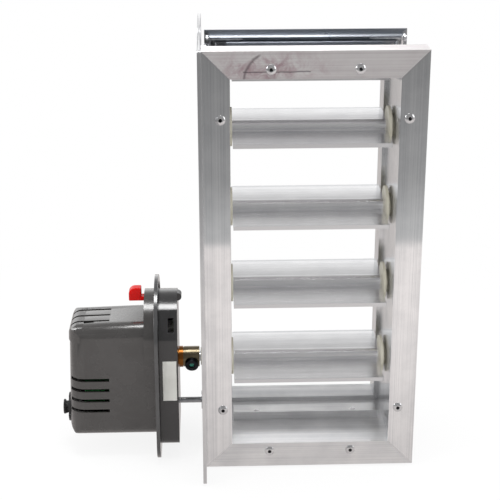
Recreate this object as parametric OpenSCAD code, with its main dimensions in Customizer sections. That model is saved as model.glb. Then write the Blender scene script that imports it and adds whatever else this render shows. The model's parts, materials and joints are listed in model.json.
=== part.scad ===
// Motorized duct damper: mitred channel frame, four parallel blades, side linkage and an electric actuator.
// X runs along the blades, Y is the airflow direction with the face frame at the low end, Z is up.
// The origin is the centre of the duct screw pattern on the inner face of the mounting plate.

/* [Duct frame] */
// Width over the frame
frame_w = 197; // [150:1:300]
// Height over the frame
frame_h = 400; // [350:1:450]
// Depth of the frame along the airflow
frame_d = 120; // [100:1:150]
// How far the frame's middle lies below the middle of the mounting plate
frame_drop = 2; // [0:0.5:5]
// Visible width of the face frame
face_w = 24.3; // [20:0.1:30]
// Wall of the face angles
angle_t = 2.8; // [2:0.1:4]
// Side leg of the face angles along the airflow
angle_leg = 24; // [15:1:30]
// Wall of the channel web and flanges
channel_t = 2.6; // [2:0.1:4]
// How far the web lies behind the edge of the face frame
web_back = 2; // [1:0.1:5]
// How far the rear rim stands inside the edge of the face frame
rim_in = 2; // [1:0.1:5]
// Depth of the rear rim along the airflow
rim_w = 27; // [20:1:35]
// Gap between a channel and the angle around it
seat_gap = 0.1; // [0.05:0.05:0.3]
// Gap on each side of a mitre
mitre_gap = 0.05; // [0.02:0.01:0.2]

/* [Screw ports] */
// Outer radius of a screw port
port_r = 4.2; // [3:0.1:6]
// Bore radius of a screw port
port_bore_r = 2.05; // [1:0.05:3]
// Height of the port's centre above the edge of the face frame
port_h = 13.3; // [10:0.1:16]
// How far the port sinks into its flange
port_sink = 0.7; // [0.3:0.1:1]
// Width of the slot along the port
port_slot = 3.9; // [2:0.1:4]

/* [Rivets and screws] */
// Distance of the face rivets from the outer edge
rivet_in = 16; // [12:0.5:20]
// Distance of the face rivets from the ends of their angle
rivet_end = 60; // [40:1:80]
// Head radius of a face rivet
rivet_head_r = 4.6; // [3:0.1:6]
// Head height of a face rivet
rivet_head_h = 1.6; // [1:0.1:3]
// Shank radius of a face rivet
rivet_r = 2.4; // [1.5:0.1:3]
// Tail radius of a face rivet
rivet_tail_r = 3.3; // [2:0.1:5]
// Tail length of a face rivet
rivet_tail_h = 3; // [2:0.1:5]
// Radius of the hole through a face rivet
rivet_eye_r = 1.6; // [0.5:0.1:2]
// Radial gap of a rivet or screw in its hole
hole_gap = 0.05; // [0.02:0.01:0.3]
// Length of a corner screw under its head
corner_screw_l = 32.5; // [20:0.5:50]
// Shank radius of a corner screw
corner_screw_r = 2; // [1:0.1:3]
// Head radius of a corner screw
corner_head_r = 3.2; // [3:0.1:6]
// Head height of a corner screw
corner_head_h = 2.4; // [1:0.1:4]
// Point length of a screw
screw_point = 4; // [2:0.5:8]
// Shank radius of a plate screw
plate_screw_r = 1.9; // [1:0.05:3]
// Head radius of a plate screw
plate_head_r = 3.8; // [3:0.1:6]
// Height of a plate screw's countersunk head
plate_head_h = 2.2; // [1:0.1:3]
// How far a plate screw's head lies below the plate's face
plate_sunk = 0.2; // [0.1:0.1:1]
// Length of a plate screw beyond the plate
plate_screw_l = 7.5; // [5:0.5:20]
// Distance of the outer plate screws from the ends of the frame
plate_screw_end = 20; // [10:1:50]
// Half distance of the front and rear plate screws along Y
plate_screw_y = 50; // [40:1:55]
// Radius of a screw head's drive recess
drive_r = 1.9; // [1:0.1:3]
// Depth of a screw head's drive recess
drive_deep = 1.2; // [0.5:0.1:2]

/* [Mounting plate] */
// Thickness of the mounting plate
plate_t = 3.2; // [2:0.1:5]
// Size of the plate along the airflow
plate_d = 186; // [150:1:220]
// Reach of the plate above the middle of its screw pattern
plate_up = 205; // [190:1:220]
// Reach of the plate below the middle of its screw pattern
plate_down = 202; // [190:1:220]
// Corner radius of the plate
plate_corner = 2; // [1:0.5:10]
// Duct screw spacing along Y
duct_y = 164; // [140:1:200]
// Duct screw spacing along Z of the four corner holes
duct_z = 372; // [300:1:390]
// Duct screw spacing along Z of the four middle holes
duct_z_mid = 124; // [80:1:200]
// Radius of the duct screw holes
duct_hole_r = 2.6; // [2:0.1:4]

/* [Blades] */
// Height of the top blade's axis above the plate's middle
blade_top_z = 116.8; // [100:0.1:130]
// Distance between blade axes
blade_pitch = 76.7; // [60:0.1:90]
// Tilt of the blades as shown, front edge down, in degrees
blade_tilt = 6.1; // [0:0.1:80]
// Side play between a jamb bushing and an end disc
blade_play = 0.65; // [0.3:0.05:2]
// Radius of the blade's central boss
boss_r = 6.3; // [6:0.1:10]
// Distance of the rear edge from the axis
rear_edge = 44; // [35:0.1:50]
// Level of the rear edge above the axis
rear_level = 1.7; // [0:0.1:5]
// Distance of the front edge from the axis
front_edge = 42.3; // [35:0.1:50]
// Level of the front half at the boss below the axis
front_root = 2.7; // [1:0.1:4]
// Level of the front edge below the axis
front_level = 3.6; // [1:0.1:6]
// Wall of the blade
blade_t = 1.8; // [1:0.1:3]
// Height of the front lip above the blade
lip_h = 2.2; // [1:0.1:4]
// Drop of the rear lip below the blade's top
lip_drop = 3.4; // [2:0.1:5]
// Wall of both lips
lip_t = 1.7; // [1:0.1:3]
// How far the rear half starts below the top of the boss
root_in = 0.15; // [0.05:0.05:1]

/* [Axles and bearings] */
// Radius of the axles and of the drive shaft
axle_r = 4.75; // [3:0.05:6]
// Radial running gap of an axle
run_gap = 0.05; // [0.02:0.01:0.1]
// Length of an axle inside its blade
axle_in = 34; // [20:1:50]
// Reach of the right axles beyond the blade
axle_out = 14; // [10:0.5:20]
// Radius of the end discs
disc_r = 18; // [15:0.5:22]
// Thickness of the end discs
disc_t = 2.5; // [1:0.1:4]
// Gap between a blade and its end disc
disc_gap = 0.1; // [0.05:0.05:0.5]
// Flange radius of a jamb bushing
bush_flange_r = 11; // [8:0.5:15]
// Flange thickness of a jamb bushing
bush_flange_t = 1.7; // [1:0.1:3]
// Barrel radius of a jamb bushing
bush_r = 7; // [6:0.1:9]
// Barrel reach beyond the web
bush_out = 2; // [1:0.1:4]
// Flange radius of the shaft bearing in the plate
plate_bush_flange_r = 8.5; // [7:0.1:12]
// Flange thickness of the shaft bearing
plate_bush_t = 1.4; // [1:0.1:3]

/* [Linkage in the left jamb] */
// Crank radius
crank_l = 22; // [15:0.5:30]
// Crank angle below the rear horizontal as shown, in degrees
crank_angle = 35; // [0:1:60]
// Nearest face of the cranks to the plate
crank_x = 8.5; // [6:0.1:12]
// Thickness of a crank arm
crank_t = 3; // [2:0.1:5]
// Length of the crank's hub
crank_hub_l = 7.6; // [5:0.1:10]
// Radius of the crank's hub
crank_hub_r = 9; // [7:0.1:12]
// Half width of a crank arm at its pin
crank_half = 6; // [4:0.1:8]
// Nearest face of the tie bar to the plate
bar_x = 5; // [3:0.1:8]
// Thickness of the tie bar
bar_t = 3; // [2:0.1:5]
// Half width of the tie bar
bar_half = 5.5; // [4:0.1:8]
// Radius of a link pin
pin_r = 3; // [2:0.1:4]
// Head radius of a link pin
pin_head_r = 4.5; // [3:0.1:6]
// Head thickness of a link pin
pin_head_t = 1.8; // [1:0.1:3]
// Gap between the flat faces of linkage parts
link_gap = 0.3; // [0.1:0.1:1]

/* [Stops] */
// Wall of the stop angles
stop_t = 2.5; // [1:0.1:4]
// Foot of a stop angle along the airflow
stop_foot = 26; // [15:1:35]
// Wall of a stop angle's foot
stop_foot_t = 1.5; // [1:0.1:3]
// Distance of the top stop in front of the axis
top_stop_y = 6.2; // [5:0.1:10]
// Height of the top stop
top_stop_h = 15.5; // [10:0.1:20]
// Distance of the bottom stop in front of the axis
bottom_stop_y = 7; // [4:0.1:12]
// Height of the bottom stop
bottom_stop_h = 7.7; // [4:0.1:20]
// Radius of the stop rivets
stop_rivet_r = 1.6; // [1:0.1:3]
// Head radius of the stop rivets
stop_rivet_head_r = 3; // [2:0.1:5]
// Head height of the stop rivets
stop_rivet_head_h = 1; // [0.5:0.1:2]
// Half distance between the rivets of a stop
stop_rivet_x = 48; // [30:1:70]

/* [Actuator housing] */
// Radius of the housing's rounded top
drum_r = 39; // [30:0.5:50]
// Height of the rounded top's centre above the shaft
drum_up = 30; // [20:0.5:40]
// Depth of the housing below the shaft
base_down = 77.2; // [60:0.5:90]
// Right face of the base
base_right = -26; // [-30:0.1:-20]
// Left face of the base against the hoop plate
base_left = -44; // [-50:0.1:-40]
// Wall of the base
base_wall = 3.2; // [2:0.1:5]
// Wall of the base's right face
base_end = 2; // [1.5:0.1:4]
// Corner radius at the base's lower edge
base_corner = 9; // [4:0.5:15]
// Start angle of the flat on the rounded top, in degrees
flat_low = 8.5; // [0:0.5:20]
// End angle of the flat on the rounded top, in degrees
flat_high = 47; // [30:0.5:60]
// Width of the slot in the flat
flat_slot_w = 5.2; // [1:0.1:6]
// Length of the slot in the flat
flat_slot_l = 13.5; // [5:0.5:20]
// Distance of the slot from the base's right face
flat_slot_x = 8.6; // [5:0.1:15]
// Radius of the small ear at the top of the base's right face
ear_r = 3.9; // [2:0.1:5]
// Half width of the ear
ear_half = 5; // [2:0.5:10]
// Thickness of the hoop plate
hoop_t = 3.5; // [2:0.1:6]
// Outer radius of the hoop
hoop_r = 52.5; // [45:0.5:60]
// Inner radius of the hoop
hoop_in_r = 46.5; // [42:0.5:55]
// Half angle of the hoop's open gap, in degrees
hoop_half_angle = 68; // [30:1:80]
// Depth of the hoop plate below the shaft
hoop_down = 91; // [60:0.5:100]
// Lower corner radius of the hoop plate
hoop_corner = 22; // [10:1:30]
// Half width of the vented cover
cover_half = 32; // [25:0.5:40]
// Height of the cover above the shaft
cover_up = 46.5; // [30:0.5:50]
// Fall of the cover's top towards its left end, in degrees
cover_slope = 1.8; // [0:0.1:4]
// Depth of the cover below the shaft
cover_down = 70.5; // [50:0.5:80]
// Left face of the cover
cover_left = -127.5; // [-140:0.5:-110]
// Wall of the cover
cover_wall = 2.5; // [1.5:0.1:4]
// Edge radius along the cover
cover_edge = 13; // [5:0.5:20]
// Edge radius around the cover's left end
cover_end = 15; // [4:0.5:20]
// Edge radius at the top of the cover's left end
cover_end_top = 9; // [4:0.5:20]
// Length of the half-round collar
collar_l = 10; // [8:0.5:20]
// How far the flare under the collar stands back from it
flare_step = 2.5; // [0.5:0.1:5]
// Depth below the shaft at which the collar's flare runs out
flare_down = 20; // [0:1:60]
// Length of a vent slot
vent_l = 35.5; // [20:0.5:50]
// Width of a vent slot
vent_w = 3.2; // [1:0.1:5]
// Left end of the vent slots
vent_left = -126; // [-130:0.5:-110]
// Height of the first front vent below the shaft
vent_first = 9.2; // [0:0.1:20]
// Distance between the front vents
vent_pitch = 10.8; // [6:0.1:14]
// Depth of the cuts of the vents from the box's outside
vent_deep = 12; // [4:0.5:14]
// Distance between the top vents
top_vent_pitch = 14; // [8:0.5:20]
// Half distance of the upper cover screws along Y
cover_screw_y = 31; // [28:0.5:32]
// Half distance of the lower cover screws along Y
cover_screw_y_low = 25.5; // [20:0.5:28]
// Height of the upper cover screws above the shaft
cover_screw_up = 34; // [30:1:40]
// Depth of the lower cover screws below the shaft
cover_screw_down = 62; // [40:1:64]
// Radius of the cover's screw bosses
cover_boss_r = 3.5; // [2.5:0.1:5]
// Length of the cover's screw bosses
cover_boss_l = 9; // [5:0.5:15]
// Shank radius of a cover screw
cover_screw_r = 1.5; // [1:0.1:2.5]
// Head radius of a cover screw
cover_head_r = 3; // [2:0.1:4]
// Head height of a cover screw
cover_head_h = 1.8; // [1:0.1:3]
// Gap between housing parts
housing_gap = 0.1; // [0.05:0.05:0.5]

/* [Hub and anti-rotation pin] */
// Radius of the hub outside the housing
hub_r = 10; // [8:0.1:14]
// Radius of the hub's ring
hub_ring_r = 10.3; // [8:0.1:14]
// Radius of the groove beside the ring
hub_neck_r = 9.3; // [8:0.1:14]
// Radius of the sleeve inside the housing
sleeve_r = 8; // [6:0.1:10]
// Left end of the sleeve
sleeve_left = -43.4; // [-44:0.1:-40]
// Left end of the ring
ring_left = -25.6; // [-27:0.1:-22]
// Right end of the ring
ring_right = -21.6; // [-22:0.1:-18]
// Right end of the groove
neck_right = -20.9; // [-22:0.1:-15]
// Right end of the hub
hub_right = -5.8; // [-8:0.1:-5]
// Position of the set screw along the hub
set_x = -13.2; // [-18:0.1:-8]
// Angle of the set screw below the front horizontal, in degrees
set_angle = 15; // [0:1:60]
// Head radius of the set screw
set_head_r = 6.5; // [4:0.1:8]
// Thread radius of the set screw
set_r = 3; // [2:0.1:4]
// Outer face of the set screw's head from the shaft
set_top = 14.5; // [12:0.1:18]
// Inner face of the set screw's head from the shaft
set_seat = 10.2; // [9:0.1:12]
// Half size across the hexagon socket
set_socket = 2.5; // [1.5:0.1:4]
// Depth of the hexagon socket
set_socket_deep = 3; // [1:0.1:4]
// Distance of the anti-rotation pin below the shaft
anti_down = 47.2; // [40:0.1:60]
// Radius of the anti-rotation pin
anti_r = 2.85; // [2:0.05:4]
// Left end of the anti-rotation pin
anti_left = -33; // [-38:0.5:-26]
// Radius of the pin's washer
anti_washer_r = 9; // [6:0.1:12]
// Thickness of the pin's washer
anti_washer_t = 1.2; // [0.8:0.1:2]
// Half size across the pin's nut
anti_nut = 5; // [4:0.1:7]
// Thickness of the pin's nut
anti_nut_t = 4; // [2:0.1:5]

/* [Gear train] */
// Size of the gear teeth, the pitch diameter for each tooth
tooth_module = 0.9; // [0.6:0.05:1.5]
// Teeth of the output gear
teeth_out = 60; // [40:1:80]
// Teeth of the small pinions
teeth_pin = 12; // [10:1:16]
// Teeth of the first wheel
teeth_a = 48; // [30:1:60]
// Teeth of the second wheel
teeth_b = 32; // [30:1:50]
// Turn of the output gear's first tooth, in degrees
out_turn = 90; // [0:1:360]
// Direction from the first to the second wheel, in degrees
train_angle = -61.2; // [-80:0.1:0]
// Left face of the output gear
out_x = -33.3; // [-36:0.1:-30]
// Left face of the first wheel
wheel_a_x = -40; // [-42:0.1:-36]
// Left face of the second wheel
wheel_b_x = -54.8; // [-56:0.1:-50]
// Thickness of a wheel
wheel_t = 3; // [2:0.1:4]
// Thickness of the output gear
out_t = 5; // [3:0.1:6]
// Radius of the gear arbors
arbor_r = 1.5; // [1:0.1:2.5]
// Hub radius of the wheels
wheel_hub_r = 3.4; // [2:0.1:5]
// Share of the pitch that a tooth's tip covers
tip_share = 0.2; // [0.1:0.01:0.4]
// Share of the pitch that a tooth's root covers
root_share = 0.52; // [0.3:0.01:0.6]
// Share of the module above the pitch circle
tip_h_share = 0.9; // [0.7:0.05:1]
// Share of the module below the pitch circle
root_h_share = 1.25; // [1:0.05:1.5]

/* [Motor, board and lever] */
// Position of the motor's axis along Y
motor_y = -6.8; // [-10:0.1:10]
// Height of the motor's axis above the shaft
motor_up = 8.74; // [0:0.01:30]
// Radius of the motor
motor_r = 17; // [10:0.5:20]
// Length of the motor
motor_l = 50; // [30:1:60]
// Thickness of the motor plate
motor_plate_t = 2; // [1:0.1:3]
// Right face of the motor plate
motor_plate_x = -58.4; // [-60:0.1:-57]
// Half width of the motor plate
motor_plate_half = 26; // [20:0.5:30]
// Height of the motor plate above the shaft
motor_plate_up = 36; // [30:0.5:42]
// Depth of the motor plate below the shaft
motor_plate_down = 34; // [20:0.5:50]
// Radius of the motor plate's pillars
pillar_r = 2.5; // [1.5:0.1:4]
// Distance of the pillars from the motor plate's edges
pillar_in = 3.5; // [2.5:0.1:6]
// Radius of the motor shaft
motor_shaft_r = 1.6; // [1:0.1:3]
// Radius of the motor's front boss
motor_boss_r = 5; // [3:0.1:8]
// Radius of the lever's post
post_r = 4; // [3:0.1:6]
// Thickness of the lever's inner arm
lever_t = 2; // [1:0.1:3]
// Hub radius of the lever
lever_hub_r = 8; // [6:0.1:12]
// Half width of the lever
lever_half = 5; // [3:0.1:8]
// Inner radius of the lever's arm outside the cover
lever_low = 31; // [25:0.1:35]
// Outer radius of the lever's arm outside the cover
lever_high = 35.5; // [30:0.1:38]
// Outer radius of the lever's tab
lever_top = 43.8; // [40:0.1:50]
// Left end of the lever
lever_left = -72.3; // [-85:0.5:-70]
// Right end of the lever's tab
lever_tab_right = -60.4; // [-68:0.1:-58]
// Radius of the tab's upper outer corner
lever_round = 6; // [1:0.5:8]
// Travel of the lever, in degrees
lever_travel = 32; // [10:1:45]
// Gap around the lever in its slot
lever_gap = 0.6; // [0.3:0.1:1.5]
// Thickness of the circuit board
board_t = 1.6; // [1:0.1:2]
// Position of the board along Y
board_y = 22; // [18:0.1:27]
// Left end of the board
board_left = -121; // [-125:0.5:-100]
// Right end of the board
board_right = -68; // [-80:0.5:-62]
// Lower edge of the board below the shaft
board_down = 58; // [40:0.5:60]
// Upper edge of the board above the shaft
board_up = 30; // [10:0.5:35]
// Radius of the board's posts
board_post_r = 2.5; // [1.5:0.1:4]
// Distance of the board's posts from its edges
board_post_in = 8; // [4:0.5:15]
// Size of the terminal block along X
block_x = 20; // [10:0.5:30]
// Size of the terminal block along Y
block_y = 11; // [6:0.5:15]
// Size of the terminal block along Z
block_z = 13; // [8:0.5:20]
// Radius of the wire entry
entry_r = 8; // [5:0.1:12]
// Radius of the wire entry's nut
entry_flange_r = 13; // [8:0.1:15]
// Thickness of the wire entry's nut
entry_nut_t = 7; // [2:0.1:9]
// Radius of the grips cut into the wire entry's nut
entry_grip_r = 3; // [1:0.1:5]
// Bore radius of the wire entry
entry_bore_r = 4.5; // [3:0.1:7]
// Depth of the wire entry's centre below the shaft
entry_down = 52; // [40:0.5:60]
// Reach of the wire entry outside the cover
entry_out = 12.5; // [4:0.1:15]
// Reach of the wire entry inside the cover
entry_in = 4; // [2:0.1:8]
// Thickness of the label
label_t = 0.3; // [0.1:0.05:0.5]
// Width of the label
label_w = 13; // [10:0.5:20]
// Height of the label
label_h = 41; // [20:0.5:50]
// Top of the label above the shaft
label_top = 12.8; // [0:0.1:30]
// Right edge of the label
label_right = -27.5; // [-30:0.1:-25]

/* [Hidden] */
half_d = frame_d / 2;
half_h = frame_h / 2;
mid_z = -frame_drop;
mid_x = frame_w / 2;
rivet_x_half = mid_x - rivet_end;
rivet_z_half = half_h - rivet_end;
plate_screw_z_out = half_h - plate_screw_end;
plate_screw_z_in = plate_screw_z_out / 3;
shaft_z = blade_top_z - 3 * blade_pitch;
tip_v = face_w - angle_t - seat_gap;
front_u = -half_d + angle_t + seat_gap;
port_u = half_d - channel_t - port_r + port_sink;
web_left = face_w - web_back;
web_right = frame_w - face_w + web_back;
blade_left = web_left + bush_flange_t + blade_play + disc_t + disc_gap;
blade_right = web_right - bush_flange_t - blade_play - disc_t - disc_gap;
blade_l = blade_right - blade_left;
hoop_left = base_left - hoop_t;
collar_left = hoop_left - collar_l;
lever_inner = collar_left + cover_wall + link_gap;
cut = 300;
over = 0.5;
$fn = 64;

// A round bar along X from one end to the other
module bar_x_dir(from, to, r) {
  translate([from, 0, 0])
    rotate([0, 90, 0])
      cylinder(h = to - from, r = r);
}

// A flat outline in Y and Z, drawn out along X
module slab(from, to) {
  translate([from, 0, 0])
    rotate([90, 0, 90])
      linear_extrude(height = to - from)
        children();
}

// Cross-section of the channel, first value along the airflow, second value outwards
module channel_section() {
  difference() {
    union() {
      polygon([
        [front_u, web_back], [half_d - rim_w, web_back], [half_d - rim_w, -rim_in], [half_d, -rim_in],
        [half_d, tip_v], [half_d - channel_t, tip_v], [half_d - channel_t, channel_t - rim_in],
        [half_d - rim_w + channel_t, channel_t - rim_in],
        [half_d - rim_w + channel_t, channel_t + web_back], [front_u + channel_t, channel_t + web_back],
        [front_u + channel_t, tip_v], [front_u, tip_v]
      ]);
      translate([port_u, port_h])
        circle(r = port_r);
    }
    translate([port_u, port_h])
      circle(r = port_bore_r);
    translate([port_u - port_r - over, port_h - port_slot / 2])
      square([port_r + over, port_slot]);
  }
}

// Cross-section of the face angle
module angle_section() {
  polygon([
    [-half_d, 0], [-half_d + angle_t, 0], [-half_d + angle_t, face_w - angle_t],
    [-half_d + angle_leg, face_w - angle_t], [-half_d + angle_leg, face_w], [-half_d, face_w]
  ]);
}

// A section drawn out along X over the given length and mitred at both ends
module mitred(length) {
  low = rim_in + over;
  high = face_w + over;
  intersection() {
    rotate([90, 0, 90])
      linear_extrude(height = length)
        children();
    translate([0, cut / 2, 0])
      rotate([90, 0, 0])
        linear_extrude(height = cut)
          polygon([
            [face_w + low + mitre_gap, -low], [length - face_w - low - mitre_gap, -low],
            [length - face_w + high - mitre_gap, high], [face_w - high + mitre_gap, high]
          ]);
  }
}

// Places a member drawn along X with its outside up: 0 top, 1 bottom, 2 left, 3 right
module placed(side) {
  if (side == 0)
    translate([0, 0, mid_z + half_h - face_w])
      children();
  if (side == 1)
    translate([0, 0, mid_z - half_h + face_w])
      mirror([0, 0, 1])
        children();
  if (side == 2)
    translate([face_w, 0, mid_z - half_h])
      rotate([0, -90, 0])
        children();
  if (side == 3)
    translate([frame_w - face_w, 0, mid_z - half_h])
      mirror([1, 0, 0])
        rotate([0, -90, 0])
          children();
}

// Places something at each of the eight face rivets, its axis along Y
module at_face_rivets() {
  for (sx = [-1, 1])
    for (sz = [-1, 1]) {
      translate([mid_x + sx * rivet_x_half, -half_d, mid_z + sz * (half_h - rivet_in)])
        children();
      translate([mid_x + sx * (mid_x - rivet_in), -half_d, mid_z + sz * rivet_z_half])
        children();
    }
}

// A round hole through both front walls for a face rivet
module rivet_hole() {
  rotate([-90, 0, 0])
    translate([0, 0, -over])
      cylinder(h = angle_t + channel_t + 2 * over, r = rivet_r + hole_gap);
}

// Holes for the long corner screws, as bars along X on the four port axes
module corner_screw_holes() {
  for (sz = [-1, 1])
    translate([0, port_u, mid_z + sz * (half_h - face_w + port_h)])
      bar_x_dir(-over, frame_w + over, corner_screw_r + hole_gap);
}

// Axis heights of the blades, counted from the top
function axis_z(i) = blade_top_z - (i - 1) * blade_pitch;

// Holes of the bushings through both webs
module bushing_holes() {
  for (i = [1:4])
    translate([0, 0, axis_z(i)])
      bar_x_dir(-over, frame_w + over, bush_r + hole_gap);
}

// Holes of the rear plate screws through the left jamb's port
module plate_screw_axes(y) {
  for (z = [-plate_screw_z_out, -plate_screw_z_in, plate_screw_z_in, plate_screw_z_out])
    translate([0, y, z])
      children();
}

// Stop rivet axes in the webs of the top and bottom channel
module at_stop_rivets(sz) {
  front = (sz > 0) ? top_stop_y : bottom_stop_y;
  for (sx = [-1, 1])
    translate([mid_x + sx * stop_rivet_x, -front + stop_t + stop_foot / 2, mid_z + sz * (half_h - face_w + web_back)])
      children();
}

module horizontal_channel(side, sz) {
  color("silver")
    difference() {
      placed(side)
        mitred(frame_w)
          channel_section();
      at_face_rivets()
        rivet_hole();
      at_stop_rivets(sz)
        translate([0, 0, -channel_t - over])
          cylinder(h = 2 * channel_t + 2 * over, r = stop_rivet_r + hole_gap);
    }
}

module top_channel() {
  horizontal_channel(0, 1);
}

module bottom_channel() {
  horizontal_channel(1, -1);
}

module left_jamb() {
  color("silver")
    difference() {
      placed(2)
        mitred(frame_h)
          channel_section();
      at_face_rivets()
        rivet_hole();
      corner_screw_holes();
      bushing_holes();
      plate_screw_axes(port_u)
        bar_x_dir(-over, face_w - port_h, plate_screw_r + hole_gap);
    }
}

module right_jamb() {
  color("silver")
    difference() {
      placed(3)
        mitred(frame_h)
          channel_section();
      at_face_rivets()
        rivet_hole();
      corner_screw_holes();
      bushing_holes();
    }
}

module face_angle(side, length) {
  color("gainsboro")
    difference() {
      placed(side)
        mitred(length)
          angle_section();
      at_face_rivets()
        rivet_hole();
      if (side == 2)
        plate_screw_axes(-plate_screw_y)
          bar_x_dir(-over, angle_t + over, plate_screw_r + hole_gap);
    }
}

module face_angle_top() {
  face_angle(0, frame_w);
}

module face_angle_bottom() {
  face_angle(1, frame_w);
}

module face_angle_left() {
  face_angle(2, frame_h);
}

module face_angle_right() {
  face_angle(3, frame_h);
}

// One blind rivet with its hollow centre, drawn along Z and laid along Y
module blind_rivet() {
  grip = angle_t + seat_gap + channel_t;
  rotate([-90, 0, 0])
    rotate_extrude()
      polygon([
        [rivet_eye_r, -rivet_head_h], [rivet_r, -rivet_head_h], [rivet_head_r, -rivet_head_h / 3],
        [rivet_head_r, 0], [rivet_r, 0], [rivet_r, grip], [rivet_tail_r, grip],
        [rivet_r, grip + rivet_tail_h], [rivet_eye_r, grip + rivet_tail_h]
      ]);
}

module face_rivets() {
  color("gray")
    at_face_rivets()
      blind_rivet();
}

// A long self-tapping screw, its head face at the origin and its shank along +X
module corner_screw() {
  difference() {
    rotate([0, 90, 0])
      rotate_extrude()
        polygon([
          [0, 0], [corner_head_r - hole_gap, 0], [corner_head_r, corner_head_h / 3],
          [corner_head_r, corner_head_h / 2], [corner_screw_r, corner_head_h],
          [corner_screw_r, corner_head_h + corner_screw_l - screw_point],
          [0, corner_head_h + corner_screw_l]
        ]);
    bar_x_dir(-over, drive_deep, drive_r);
  }
}

module corner_screws() {
  seat = face_w - port_h - port_r - corner_head_h;
  color("dimgray")
    for (sz = [-1, 1])
      translate([0, port_u, mid_z + sz * (half_h - face_w + port_h)]) {
        translate([seat, 0, 0])
          corner_screw();
        translate([frame_w - seat, 0, 0])
          mirror([1, 0, 0])
            corner_screw();
      }
}

module stop_angle(front, height, sz) {
  mirror([0, 0, (sz > 0) ? 1 : 0])
    difference() {
      union() {
        translate([blade_left, -front, 0])
          cube([blade_l, stop_t, height]);
        translate([blade_left, -front, 0])
          cube([blade_l, stop_t + stop_foot, stop_foot_t]);
      }
      for (sx = [-1, 1])
        translate([mid_x + sx * stop_rivet_x, -front + stop_t + stop_foot / 2, -over])
          cylinder(h = stop_foot_t + 2 * over, r = stop_rivet_r + hole_gap);
    }
}

module top_stop() {
  color("silver")
    translate([0, 0, mid_z + half_h - face_w + web_back - seat_gap])
      stop_angle(top_stop_y, top_stop_h, 1);
}

module bottom_stop() {
  color("silver")
    translate([0, 0, mid_z - half_h + face_w - web_back + seat_gap])
      stop_angle(bottom_stop_y, bottom_stop_h, -1);
}

module stop_rivets() {
  inner = stop_foot_t + seat_gap;
  color("gray")
    for (sz = [-1, 1])
      at_stop_rivets(sz)
        mirror([0, 0, (sz > 0) ? 0 : 1])
          rotate_extrude()
            polygon([
              [0, -inner - stop_rivet_head_h], [stop_rivet_r, -inner - stop_rivet_head_h],
              [stop_rivet_head_r, -inner], [stop_rivet_r, -inner], [stop_rivet_r, channel_t],
              [stop_rivet_head_r, channel_t], [stop_rivet_r, channel_t + stop_rivet_head_h],
              [0, channel_t + stop_rivet_head_h]
            ]);
}

module plate_outline() {
  hy = plate_d / 2;
  tall = plate_up + plate_down;
  c = plate_corner;
  translate([-hy + c, -plate_down])
    square([plate_d - 2 * c, tall]);
  translate([-hy, -plate_down + c])
    square([plate_d, tall - 2 * c]);
  for (sy = [-1, 1])
    for (z = [-plate_down + c, plate_up - c])
      translate([sy * (hy - c), z])
        circle(r = c);
}

// A through hole of the plate with a cone for a screw head, both a hole gap wider than the screw
module countersunk_hole() {
  seat = -plate_t + plate_sunk;
  bar_x_dir(-plate_t - over, over, plate_screw_r + hole_gap);
  bar_x_dir(-plate_t - over, seat, plate_head_r + hole_gap);
  translate([seat, 0, 0])
    rotate([0, 90, 0])
      cylinder(h = plate_head_h, r1 = plate_head_r + hole_gap, r2 = plate_screw_r + hole_gap);
}

module mounting_plate() {
  color("lightgray")
    difference() {
      slab(-plate_t, 0)
        plate_outline();
      for (sy = [-1, 1]) {
        for (z = [-duct_z / 2, -duct_z_mid / 2, duct_z_mid / 2, duct_z / 2])
          translate([0, sy * duct_y / 2, z])
            bar_x_dir(-plate_t - over, over, duct_hole_r);
        plate_screw_axes(sy > 0 ? port_u : -plate_screw_y)
          countersunk_hole();
      }
      translate([0, 0, shaft_z])
        bar_x_dir(-plate_t - over, over, bush_r + hole_gap);
      translate([0, 0, shaft_z - anti_down])
        bar_x_dir(-plate_t - over, over, anti_r + hole_gap);
    }
}

module plate_packer() {
  color("lightgray")
    difference() {
      translate([seat_gap, half_d - angle_leg, mid_z - half_h + face_w])
        cube([angle_t - seat_gap, angle_leg, frame_h - 2 * face_w]);
      plate_screw_axes(port_u)
        bar_x_dir(-over, angle_t + over, plate_screw_r + hole_gap);
    }
}

// A short countersunk self-tapping screw pointing along +X, the face of its head at the origin
module plate_screw(length) {
  difference() {
    rotate([0, 90, 0])
      rotate_extrude()
        polygon([
          [0, 0], [plate_head_r, 0], [plate_screw_r, plate_head_h],
          [plate_screw_r, length - screw_point / 2], [0, length]
        ]);
    bar_x_dir(-over, drive_deep, drive_r);
  }
}

module plate_screws() {
  color("gray") {
    plate_screw_axes(-plate_screw_y)
      translate([-plate_t + plate_sunk, 0, 0])
        plate_screw(plate_t + plate_screw_l);
    plate_screw_axes(port_u)
      translate([-plate_t + plate_sunk, 0, 0])
        plate_screw(plate_t + plate_screw_l + angle_t);
  }
}

// The two halves of a blade with their lips, seen along the axis: first value to the rear, second value up
module blade_rear() {
  polygon([[0, boss_r - root_in], [rear_edge, rear_level], [rear_edge, rear_level - lip_drop],
    [rear_edge - lip_t, rear_level - lip_drop], [rear_edge - lip_t, rear_level - blade_t],
    [0, boss_r - root_in - blade_t]]);
}

module blade_front() {
  polygon([[0, -front_root], [-front_edge + lip_t, -front_level], [-front_edge + lip_t, -front_level + lip_h],
    [-front_edge, -front_level + lip_h], [-front_edge, -front_level - blade_t], [0, -front_root - blade_t]]);
}

module blade(i) {
  color("gainsboro")
    translate([0, 0, axis_z(i)])
      rotate([blade_tilt, 0, 0])
        difference() {
          union() {
            bar_x_dir(blade_left, blade_right, boss_r);
            slab(blade_left, blade_right)
              blade_rear();
            slab(blade_left, blade_right)
              blade_front();
          }
          bar_x_dir(blade_left - over, blade_right + over, axle_r + hole_gap);
        }
}

module blade_1() {
  blade(1);
}

module blade_2() {
  blade(2);
}

module blade_3() {
  blade(3);
}

module blade_4() {
  blade(4);
}

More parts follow.
